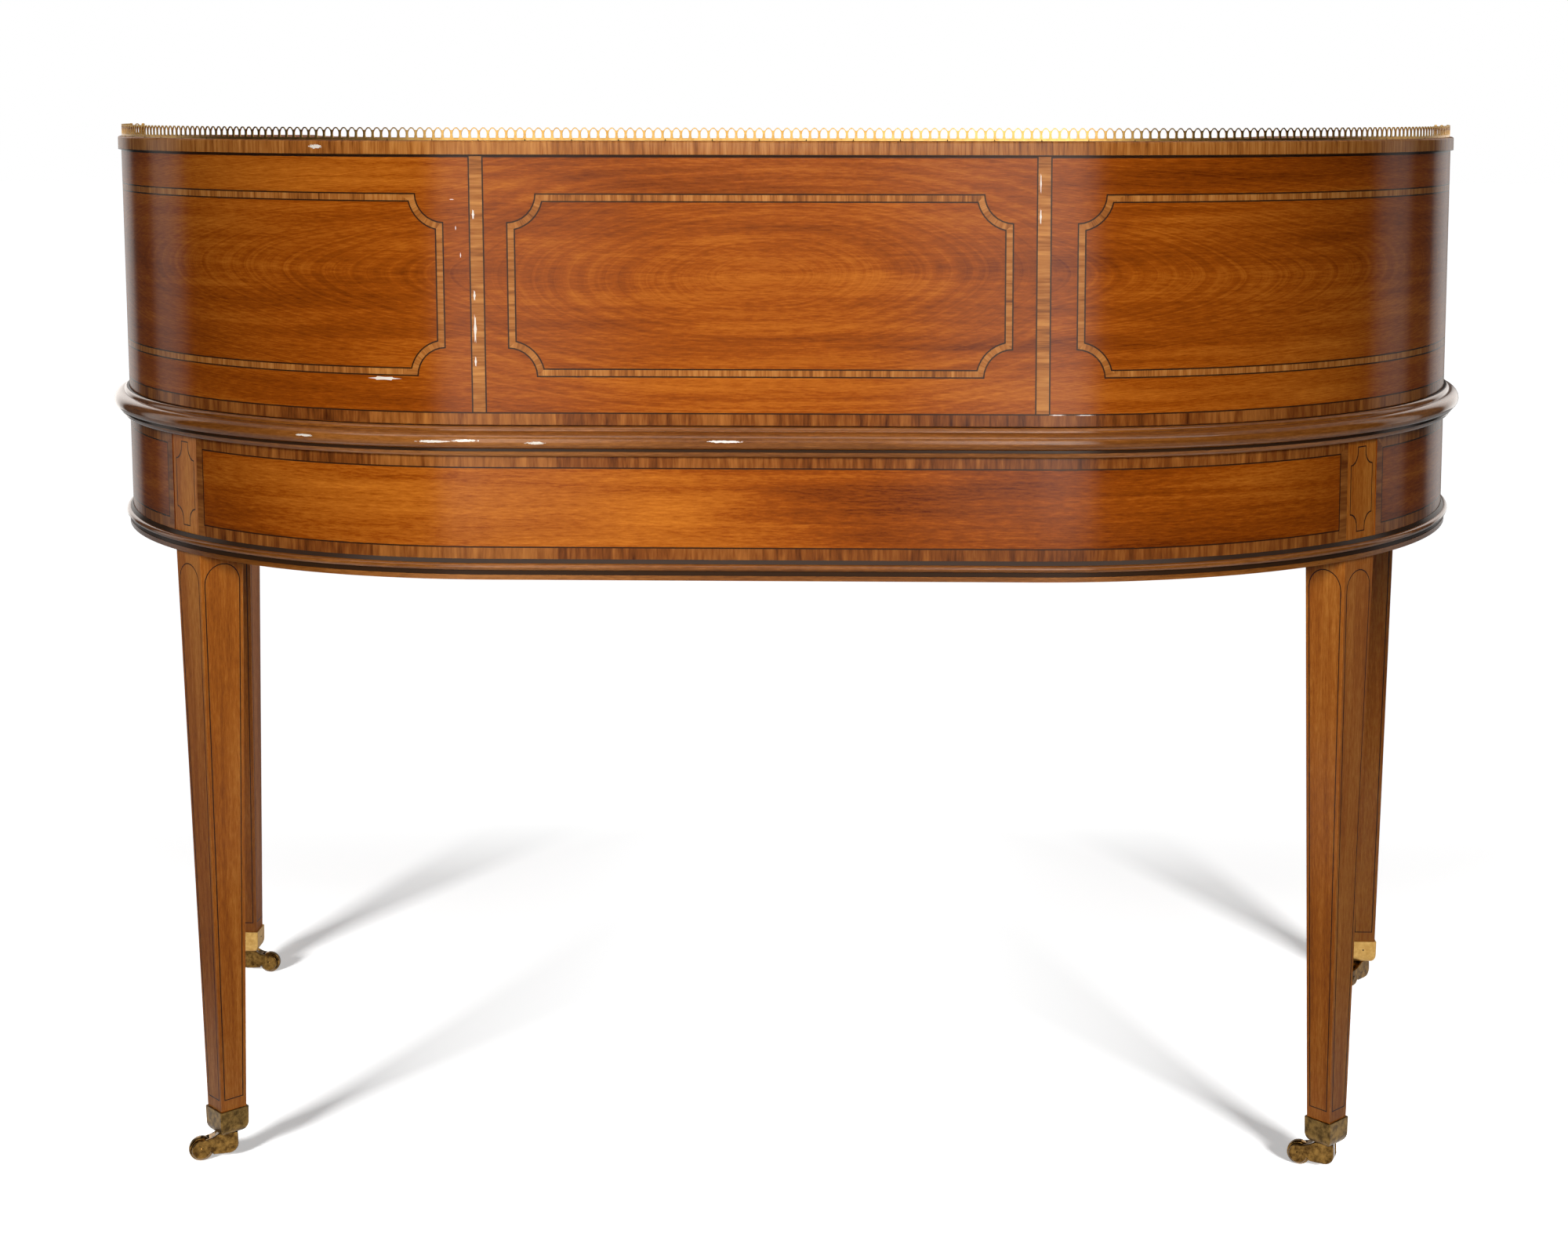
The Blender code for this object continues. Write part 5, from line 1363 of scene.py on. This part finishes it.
for name in BANK_DRAWERS:
    front_knob(name, BANK_FRONT_Y)
for label, side in SIDES.items():
    front_knob("arm_drawer_" + label, ARM_FRONT_Y)
    away = Vector((side * math.sin(DOOR_KNOB_TURN), math.cos(DOOR_KNOB_TURN), 0))
    seat = Vector((side * STRAIGHT_HALF, CENTRE_Y, (TABLE_Z + WALL_HIGH) / 2)) + away * DOOR_RADIUS
    knob("cupboard_door_" + label, seat, -away)
    seat = SLOPE_FOOT + UP_SLOPE * LID_KNOB_INSET + Vector((middle_of("arm_drawer_" + label).x, 0, 0))
    knob("arm_lid_" + label, seat, OFF_SLOPE)
for label, side in SIDES.items():
    low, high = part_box("arm_lid_" + label)
    heights = DOOR_LOW + DOOR_KNUCKLES[0], DOOR_HIGH - DOOR_KNUCKLES[1]
    on_door = [Matrix.Translation((side * HINGE_X, HINGE_Y, z)) for z in heights]
    ends = low.x + LID_KNUCKLES[0], high.x - LID_KNUCKLES[1]
    on_lid = [standing((x, LID_LINE.y, LID_LINE.z), (1, 0, 0)) for x in ends]
    for kind, places in (("door", on_door), ("lid", on_lid)):
        bench = Bench()
        for place in places:
            turned(bench, KNUCKLE, place, "brass", 12)
        bench.piece(f"{kind}_hinges_{label}", "desk", slot="brass")


def keyhole(body):
    """Oval brass escutcheon with a keyhole as a flat dark shape: painted shade where a hole would be."""
    low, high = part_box(body)
    x, z = (low.x + high.x) / 2, high.z - KEYHOLE_DROP

    def oval(wide, tall, count, rise=0.0):
        turns = [2 * math.pi * k / count for k in range(count)]
        return [(x + wide * math.cos(turn), z + rise + tall * math.sin(turn)) for turn in turns]

    regions = [(oval(0.0044, 0.0058, 20), "brass", along),
               # the round and the slot are painted shade, flat dark shapes on the plate where the hole would
               # be
               (oval(0.0013, 0.0013, 10, 0.0014), "stringing", along),
               (rectangle(x - 0.0006, x + 0.0006, z - 0.0030, z + 0.0010), "stringing", along)]
    bench = Bench()
    inlay(bench, regions, front_lay(FRONT_Y, KEYHOLE_LIFT), KEYHOLE_THICK)
    bench.piece("keyhole_" + body, body, slot="brass")


for name in FRIEZE_DRAWERS:
    keyhole(name)

# %% [markdown]
# The deep drawers have oval plates with a bail that swings in two posts. Each bail is a body of
# its own, so its rod is bent about its hinge and nothing else moves with it.

# %% Plates and bails
POST_SPACING, BAIL_ROD, BAIL_DROP, SHOULDER = 0.066, 0.0018, 0.023, 0.0075
BAIL_SWELL, SWELL_REACH = 0.0007, 0.028
PLATE = [(0.0, 0.0), (0.0, 0.0006), (-0.0004, 0.0012), (-0.0012, 0.0015), (-0.0022, 0.0013),
         (-0.0028, 0.0006), (-0.0040, 0.0005), (-0.0046, 0.0009), (-0.0054, 0.0009), (-0.0060, 0.0005),
         (-0.0112, 0.0006)]
POST = [(0.0, 0.0), (0.0062, 0.0), (0.0062, 0.0016), (0.0052, 0.0024), (0.0040, 0.0028), (0.0031, 0.0040),
        (0.0030, 0.0060), (0.0036, 0.0068), (0.0040, 0.0080), (0.0040, 0.0090), (0.0035, 0.0108),
        (0.0022, 0.0120), (0.0, 0.0125)]
HANDLES = {"centre_left": "centre_drawer", "centre_right": "centre_drawer", "left": "left_drawer",
           "right": "right_drawer"}
half, out = POST_SPACING / 2, POST_SPACING / 2 + SHOULDER
bend = [(-half, 0), (-out + 0.0026, 0), (-out + 0.0009, -0.0006), (-out + 0.0001, -0.0022)]
bend += [(-out * math.cos(math.pi * k / 20), -BAIL_DROP * math.sin(math.pi * k / 20)) for k in range(2, 11)]
bend += [(-x, z) for x, z in reversed(bend[:-1])]
radii = [BAIL_ROD + BAIL_SWELL * max(0.0, 1 - abs(x) / SWELL_REACH) ** 0.7 for x, _ in bend]
for label, drawer in HANDLES.items():
    plate, bail = "handle_plate_" + label, "handle_bail_" + label
    low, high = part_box(plate)
    middle = Vector(((low.x + high.x) / 2, high.y, (low.z + high.z) / 2))
    oval = (high.x - low.x) / 2, (high.z - low.z) / 2
    bench = Bench()
    turned(bench, PLATE, standing(middle, TOWARDS_SITTER), "brass", 40, oval)
    for side in (-1, 1):
        turned(bench, POST, standing(middle + Vector((side * half, 0, 0)), TOWARDS_SITTER), "brass", 16)
    bench.piece(plate + "_cast", drawer, plate, slot="brass")
    middle = middle_of(bail)
    axis = Vector((middle.x, middle.y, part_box(bail)[1].z - BAIL_ROD))
    bench = Bench()
    swept(bench, [axis + Vector((x, 0, z)) for x, z in bend], radii, TOWARDS_SITTER, "brass")
    bench.piece(bail + "_rod", bail, bail, slot="brass")

# %% [markdown]
# ## The writing surface
# Green leather lies flush in the top. Its border is tooled with a hot brass roll: two gold lines
# with a row of small lozenges between them, set by the same node tree as the gallery. A wider
# crossband runs round it in the veneer of the table.

# %% Crossband and tooling
LEATHER_SIDE, LEATHER_FRONT, LOZENGE_PITCH = -0.220, FRONT_Y + 0.045, 0.0068
SHEET_IN_TOP, GOLD_LIFT, BAND_MIDDLE = 0.0003, 0.0001, 0.23
LOZENGE, LOZENGE_Z = ((0.0026, 0), (0, 0.0014), (-0.0026, 0), (0, -0.0014)), (-0.0002, 0.00012)


def plan_outline(grow):
    """Outline in plan of the leather, moved outwards."""
    return [tuple(rim(way, LEATHER_SIDE + grow)[0].xy) for way in whole_round(LEATHER_FRONT - grow)]


def round_grain(u, v, middle):
    """Way round the leather and way across its border."""
    x, y = abs(middle[0]), middle[1]
    if y < CENTRE_Y:
        return (v, u) if x > STRAIGHT_HALF + CORNER_RADIUS + LEATHER_SIDE - 0.001 else (u, v)
    if x < STRAIGHT_HALF:
        return (u, v)
    aside, back = abs(u) - STRAIGHT_HALF, v - CENTRE_Y
    return (STRAIGHT_HALF + math.atan2(aside, back) * BAND_MIDDLE, math.hypot(aside, back))


def flat_sheet(name, regions, height, slot):
    bench = Bench()
    inlay(bench, regions, lambda u, v, depth: (Vector((u, v, height - depth)), UP), SHEET_IN_TOP)
    bench.piece(name, "desk", slot=slot)


border = [(plan_outline(0.0170), "stringing", along), (plan_outline(0.0158), "crossband", round_grain),
          (plan_outline(0.0015), "stringing", along), (plan_outline(0.0003), None, along)]
flat_sheet("table_crossband", border, TABLE_Z + LIFT, "satinwood")
lines = [(plan_outline(-0.0070), "gilt", along), (plan_outline(-0.0082), None, along),
         (plan_outline(-0.0160), "gilt", along), (plan_outline(-0.0165), None, along)]
flat_sheet("leather_gold_lines", lines, TABLE_Z + GOLD_LIFT, "leather")

loop = [Vector((x, y, TABLE_Z)) for x, y in plan_outline(-0.0121)]
loop.append(loop[0].copy())
lozenges = round(path_length(loop) / LOZENGE_PITCH)
stamp = bmesh.new()
lower_loop, upper_loop = [[stamp.verts.new((x, y, z)) for x, y in LOZENGE] for z in LOZENGE_Z]
stamp.faces.new(upper_loop)
stamp.faces.new(lower_loop[::-1])
for k in range(4):
    stamp.faces.new((lower_loop[k], lower_loop[(k + 1) % 4], upper_loop[(k + 1) % 4], upper_loop[k]))
HELPERS += [as_curve("tool_line", loop), placed("tool_stamp", as_mesh("tool_stamp", stamp))]
tooling = repeated("leather_gold_lozenges", path=HELPERS[3], part=HELPERS[4], count=lozenges,
                   end_margin=path_length(loop) / lozenges / 2, weld=FINE_WELD, finish=FINISHES["gilt"])

# %% [markdown]
# ## Caps and castors
# Each leg stands in a square brass cap that curls in under its foot. Below it a swan-necked
# horn holds a small wheel. The horn turns about the leg and the wheel about its axle, so both
# are built round those lines: the solids give the turn and the trail of every castor.

# %% Caps
CAP_SKIN, CAP_EASE, CAP_LIP, PIN_SHARE, PIN_SUNK = 0.0018, 0.0010, 0.0004, 0.6, 0.0003
CAP_CURL = [(-0.0052, 0.0), (-0.0034, 0.0008), (-0.0020, 0.0022), (-0.0008, 0.0044), (-0.0001, 0.0072),
            (0.0, 0.0090)]
CAP_PIN = [(0.0, 0.0), (0.0010, 0.0), (0.0010, 0.0004), (0.0, 0.0004)]


def cap(label, turn, finish, pinned):
    node = "cap_" + label
    low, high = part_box(node)
    centre = middle_of(node)
    profile = [(inset, low.z + rise) for inset, rise in CAP_CURL]
    profile += [(0.0, high.z - CAP_LIP), (-CAP_LIP, high.z)]
    levels = [(leg_half(z, -CAP_SKIN - inset), z) for inset, z in profile]
    looks = outline_looks([(0.0, levels[0][1]), *levels, (0.0, high.z)], False)[1:-1]
    looks[0][0] = looks[0][1]
    stations = []
    for face in range(4):
        (out, across), (after, beyond) = facing(turn, face), facing(turn, face + 1)
        between = (out + after).normalized()
        stations += [(out, -across, out), (out, across, out), (out, across, (out + between).normalized()),
                     (after, -beyond, (after + between).normalized())]
    stations.append(stations[0])

    def corner(station, k, end):
        (out, across, look), (r, z) = station, levels[k + end]
        spot = Vector((centre.x, centre.y, z)) + out * r + across * (r - CAP_EASE)
        return spot, tilted(look, looks[k][end]), (spot.x, spot.z)

    bench = Bench()
    bench.loft(stations, range(len(levels) - 1), corner, lambda k: finish)
    for k, end, towards in ((0, 0, -UP), (len(levels) - 2, 1, UP)):
        bench.flat([corner(station, k, end)[0] for station in stations[:-1:2]], towards, None, finish)
    if pinned:
        z = low.z + PIN_SHARE * (high.z - low.z)
        for face in range(4):
            out = facing(turn, face)[0]
            seat = Vector((centre.x, centre.y, z)) + out * leg_half(z, PIN_SUNK - CAP_SKIN)
            turned(bench, CAP_PIN, standing(seat, out), "stringing", 10)
    bench.piece(node + "_cast", "desk", node, slot="brass")


for label, turn in LEGS.items():
    front = label.startswith("front")
    cap(label, turn, "brass" if front else "brass_aged", front)

# %% [markdown]
# A horn is a flat side outline with a round room for the wheel. Its two cheeks are eased
# towards their outer faces, and the ends of the axle stand out of them.

# %% Horns and wheels
HORN_WIDE, WHEEL_ROOM, HORN_EASE, BOSS = 0.0136, 0.0132, 0.0009, 0.009
HEAD, HEEL, BELLY_Z, CHEEK = 0.0096, 0.0095, 0.0055, 0.00215
HALF_WHEEL = [(0.0, -0.0042), (0.0034, -0.0042), (0.0041, -0.0036), (0.0084, -0.0034), (0.0094, -0.00415),
              (0.0108, -0.00415), (0.0117, -0.0032), (0.0120, -0.0012)]
WHEEL = HALF_WHEEL + [(r, -z) for r, z in reversed(HALF_WHEEL)]
AXLE = [(0.0024, 0.0), (0.0024, 0.0003), (0.0016, 0.0006), (0.0, 0.0007)]


def arc(x, z, radius, degrees):
    return [(x + radius * math.cos(math.radians(a)), z + radius * math.sin(math.radians(a))) for a in degrees]


def horn_outline(top, trail, axle_z):
    """Side outline of a horn, anticlockwise from the front of its boss."""
    return [(BOSS, top), (-BOSS, top), *arc(0, BELLY_Z + HEEL, HEEL, range(180, 271, 10)),
            (0.0065, BELLY_Z + 0.0001), (trail - HEAD - 0.0018, BELLY_Z + 0.0006),
            *arc(trail, axle_z, HEAD, range(-160, 101, 10)),
            (0.0205, 0.0222), (0.0160, 0.0233), (0.0125, 0.0250)]


def castor(label):
    swivel, wheel = middle_of("leg_" + label), middle_of("castor_wheel_" + label)
    horn_body, wheel_body = "castor_horn_" + label, "castor_wheel_" + label
    reach = Vector((wheel.x - swivel.x, wheel.y - swivel.y, 0))
    trail, heading = reach.length, reach.normalized()
    across = Vector((-heading.y, heading.x, 0))
    outline = horn_outline(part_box(horn_body)[1].z, trail, wheel.z)
    room = arc(trail, wheel.z, WHEEL_ROOM, range(0, 360, 10))
    outer, inner = HORN_WIDE / 2, HORN_WIDE / 2 - CHEEK

    def spot(point, wide):
        return Vector((swivel.x, swivel.y, point[1])) + heading * point[0] + across * wide

    bench = Bench()
    inlay(bench, [(outline, "brass_worn", along), (room, None, along)],
          lambda u, v, depth: (spot((u, v), inner - depth), across), 2 * inner)
    eased, looks, count = shrunk(outline, HORN_EASE), outline_looks(outline, True, 50), len(outline)
    stations = [((k + end) % count, looks[k][end]) for k in range(count) for end in (0, 1)]
    rims = ((outline, inner, 0.0), (outline, outer - HORN_EASE, 0.0), (eased, outer, 1.0))
    for side in (-1, 1):
        def corner(station, level, end):
            (index, flat), (line, wide, tilt) = station, rims[level + end]
            place = spot(line[index], side * wide)
            look = heading * flat.x + UP * flat.y + across * side * tilt
            return place, look.normalized(), (place.x, place.z)

        bench.loft(stations, (0, 1), corner, lambda k: "brass_worn")
        for line, wide, towards in ((eased, outer, side), (outline, inner, -side)):
            bench.flat([spot(point, side * wide) for point in line], across * towards, None, "brass_worn")
        turned(bench, AXLE, standing(spot((trail, wheel.z), side * outer), across * side), "brass_worn", 14)
    bench.piece(horn_body + "_cast", horn_body, horn_body, slot="brass")
    bench = Bench()
    turned(bench, WHEEL, standing(wheel, across), "brass_worn", 40)
    bench.piece(wheel_body + "_cast", wheel_body, wheel_body, slot="brass")


for label in LEGS:
    castor(label)

# %% [markdown]
# ## The solids that stay
# Drawers, dividers, lids, the insides of the arms, the table top, the front rail, the guides,
# the dust board and the leather keep their solids. Each gets the finish that suits its grain:
# long pieces along X, the arms along Y.

# %% Finishes for the solids that stay
KEPT = {"satinwood_x": ["front_rail", "table_top", "bank_divider", *FRIEZE_DRAWERS, *BANK_DRAWERS],
        "satinwood_y": ["left_drawer_guide", "right_drawer_guide"],
        "lining": ["dust_board"], "leather": ["writing_leather"]}
for label in SIDES:
    KEPT["satinwood_x"] += [part + label for part in ("arm_floor_", "arm_head_", "arm_drawer_", "arm_lid_")]
    KEPT["satinwood_y"] += [part + label for part in ("arm_inner_wall_", "bank_side_")]
for finish, names in KEPT.items():
    for name in names:
        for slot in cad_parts[name].material_slots:
            slot.material = FINISHES[finish]
print("solids kept:", sum(len(names) for names in KEPT.values()))

# %% [markdown]
# ## The studio
# The desk stands on white paper in even, soft light. The paper is two halves, each lit by a lamp
# of its own, because the photo shows one shadow for each foot. The shadows fade towards the
# middle line and away from the desk, where the photo is plain white.

# %% Clear the helpers and make the floor
PAPER_REACH, SHADE_INNER, SHADE_OUTER, SHADE_Y, SHADE_DEEP, SHADE_FADE = 30, 0.48, 0.78, -0.15, 0.53, 0.28
PLAIN_GLOW, FAR_GLOW = 0.42, 0.60
for helper in HELPERS:
    bpy.data.objects.remove(helper)


def plain_plane(name, corners):
    mesh = bpy.data.meshes.new(name)
    mesh.from_pydata(corners, [], [tuple(range(len(corners)))])
    item = placed(name, mesh)
    return item


paper = Recipe("paper", base_color=(0.80, 0.80, 0.80, 1.0), roughness=0.9, specular_ior_level=0.1,
               emission_color=(1.0, 1.0, 1.0, 1.0))
x, y, _ = paper.split(paper.node("ShaderNodeTexCoord")["Object"])
aside = paper.sums("ABSOLUTE", x)
wide = paper.sums("MAXIMUM", paper.sums("SUBTRACT", aside, SHADE_OUTER),
                  paper.sums("SUBTRACT", SHADE_INNER, aside))
deep = paper.sums("SUBTRACT", paper.sums("ABSOLUTE", paper.sums("ADD", y, -SHADE_Y)), SHADE_DEEP)
fade = paper.node("ShaderNodeMapRange", paper.sums("MAXIMUM", wide, deep), 0.0, SHADE_FADE, 0.0, 1.0)[0]
paper.colour(paper.mixed(fade, (0.92, 0.92, 0.92, 1.0), (0.0, 0.0, 0.0, 1.0)))
glow = paper.sums("ADD", PLAIN_GLOW, paper.sums("MULTIPLY", fade, FAR_GLOW))
paper.join(paper.sums("MULTIPLY", paper.seen(), glow), paper.shader["Emission Strength"])
floors = {}
for label, side in SIDES.items():
    far = side * PAPER_REACH
    floor = plain_plane("floor_" + label, [(0, -PAPER_REACH, 0), (far, -PAPER_REACH, 0),
                                           (far, PAPER_REACH, 0), (0, PAPER_REACH, 0)])
    if side < 0:
        floor.data.flip_normals()
    floor.data.materials.append(FINISHES["paper"])
    floor.visible_diffuse = False
    floors[label] = floor
print("the floor is", 2 * PAPER_REACH, "m wide in", len(floors), "halves")

# %% [markdown]
# The world looks white to the camera and gives only a little light. One lamp stands behind the
# camera, one hangs overhead, one stands at the sitter's side, and two stand beside it. None of
# them lights the floor, which has its own two lamps.

# %% World and lamps
WORLD_LIGHT = 0.07
world = bpy.data.worlds.new("studio")
bpy.context.scene.world = world
world.use_nodes = True
world.node_tree.nodes.clear()
sky = Tree(world.node_tree)
strength = sky.node("ShaderNodeMapRange", sky.seen(), 0.0, 1.0, WORLD_LIGHT, 1.0)[0]
sky.node("ShaderNodeOutputWorld", sky.node("ShaderNodeBackground", (1, 1, 1, 1), strength)[0])


def around(azimuth, distance, height):
    """Place at an azimuth measured from the back of the desk towards +X."""
    angle = math.radians(azimuth)
    return Vector((distance * math.sin(angle), distance * math.cos(angle), height))


def soft_box(name, place, aim, size, power, spread, lit):
    """Area lamp; it lights by diffuse rays alone, because the cards stand for it in the polish."""
    data = bpy.data.lights.new(name, "AREA")
    data.shape = "RECTANGLE"
    data.size, data.size_y = size
    data.energy, data.spread = power, math.radians(spread)
    item = placed(name, data)
    item.location = place
    item.rotation_euler = (Vector(aim) - item.location).to_track_quat("-Z", "Y").to_euler()
    item.visible_glossy = item.visible_camera = False
    item.light_linking.receiver_collection = lit


but_floor = bpy.data.collections.new("but_floor")
for number, floor in enumerate(floors.values()):
    but_floor.objects.link(floor)
    but_floor.collection_objects[number].light_linking.link_state = "EXCLUDE"
soft_box("box_back", (0.03, 2.4, 1.35), (0.03, 0, 0.60), (0.8, 0.8), 8.6, 62, but_floor)
soft_box("box_over", (0, 0.2, 3.2), (0, 0, 0.6), (2.6, 2.0), 8, 180, but_floor)
soft_box("box_sitter", (0, -2.7, 1.8), (0, -0.1, 0.65), (1.4, 1.0), 16, 95, but_floor)
for label, side in SIDES.items():
    place, aim = around(side * 135, 3.0, 1.7), (0, 0, 0.6)
    soft_box("box_side_" + label, place, aim, (0.9, 0.9), 28, 180, but_floor)
for label, side in SIDES.items():
    own = bpy.data.collections.new("only_floor_" + label)
    own.objects.link(floors[label])
    place, aim = around(side * 35, 3.3, 1.25), (side * 0.3, 0, 0)
    soft_box("box_floor_" + label, place, aim, (0.7, 0.7), 240, 180, own)
print("lamps:", ", ".join(lamp.name for lamp in bpy.data.lights))

# %% [markdown]
# Polished wood mirrors what stands round it. Tall cards that only reflections see stand round
# the desk: the bright ones draw soft strips along its curved edges, and the dark ones keep the
# colour of the wood deep. A last card hangs overhead.

# %% Cards
CARD_AWAY, CARD_TOP = 4.2, 3.2
# azimuth and span in degrees, and brightness
CARDS = [(17, 18, 3.6), (-11, 20, 5.4), (3.5, 9, 0.5), (62, 72, 0.0), (-59.5, 77, 0.0)]
for side in (-1, 1):
    CARDS += [(side * 107, 18, 1.3), (side * 123, 14, 0.1), (side * 143, 26, 2.0), (side * 168, 24, 0.5)]


def card(name, corners, shade):
    """Card seen only in reflections; it is brightest in the middle and dies away to both sides."""
    item = plain_plane(name, corners)
    across = item.data.uv_layers.new(name="across")
    for loop, share in zip(across.data, (0.0, 1.0, 1.0, 0.0)):
        loop.uv = (share, 0.0)
    glow = Recipe(name + "_glow", base_color=(0, 0, 0, 1), roughness=1.0, specular_ior_level=0.0,
                  emission_color=(1.0, 0.96, 0.92, 1.0))
    share = glow.split(glow.node("ShaderNodeUVMap", uv_map="across")[0])[0]
    hump = glow.sums("MULTIPLY", glow.sums("MULTIPLY", share, glow.sums("SUBTRACT", 1.0, share)), 4.0)
    glow.join(glow.sums("MULTIPLY", glow.sums("POWER", hump, 0.6), shade), glow.shader["Emission Strength"])
    item.data.materials.append(glow.material)
    for ray in ("camera", "diffuse", "shadow", "transmission", "volume_scatter"):
        setattr(item, "visible_" + ray, False)


for number, (azimuth, span, shade) in enumerate(CARDS):
    corners = [around(azimuth + turn * span / 2, CARD_AWAY, z)
               for turn, z in ((-1, 0.001), (1, 0.001), (1, CARD_TOP), (-1, CARD_TOP))]
    card(f"card_{number:02d}", corners, shade)
card("card_over", [(x, y, CARD_TOP) for x, y in ((2.6, 1.0), (2.6, 2.0), (-2.6, 2.0), (-2.6, 1.0))], 3.2)
print(len(CARDS) + 1, "cards stand round the desk and over it")

# %% [markdown]
# ## The camera
# The photo was taken from behind the desk, a little to the left of its middle line, with the
# camera just above the gallery. Its place, turn and lens come from a fit to the edges in the
# photo. The optical axis lies above the middle of the picture, which a small shift repeats.

# %% Camera
def aimed(yaw, pitch, roll):
    """Camera turn: straight along -Y, turned towards +X by yaw, down by pitch, then rolled."""
    ahead = Vector((math.sin(yaw) * math.cos(pitch), -math.cos(yaw) * math.cos(pitch), -math.sin(pitch)))
    right = ahead.cross(UP).normalized()
    up = right.cross(ahead)
    rolled_right = right * math.cos(roll) + up * math.sin(roll)
    rolled_up = up * math.cos(roll) - right * math.sin(roll)
    return Matrix((rolled_right, rolled_up, -ahead)).transposed()


# in pixels of the photo
PICTURE, FOCAL, OPTICAL = (2000, 1606), 3112, (1120, 500)
CAMERA_PLACE, CAMERA_TURN = (-0.1518, 2.5017, 1.038), (0.0217, 0.1172, 0.0011)
camera_data = bpy.data.cameras.new("camera")
camera_data.sensor_width = 36.0
camera_data.lens = FOCAL * camera_data.sensor_width / PICTURE[0]
camera_data.shift_x = (PICTURE[0] / 2 - OPTICAL[0]) / PICTURE[0]
camera_data.shift_y = (OPTICAL[1] - PICTURE[1] / 2) / PICTURE[0]
camera = placed("camera", camera_data)
camera.matrix_world = Matrix.Translation(CAMERA_PLACE) @ aimed(*CAMERA_TURN).to_4x4()
bpy.context.scene.camera = camera
bpy.context.scene.view_settings.view_transform = "Standard"
print("lens", round(camera_data.lens, 2), "mm, shift", round(camera_data.shift_y, 4))
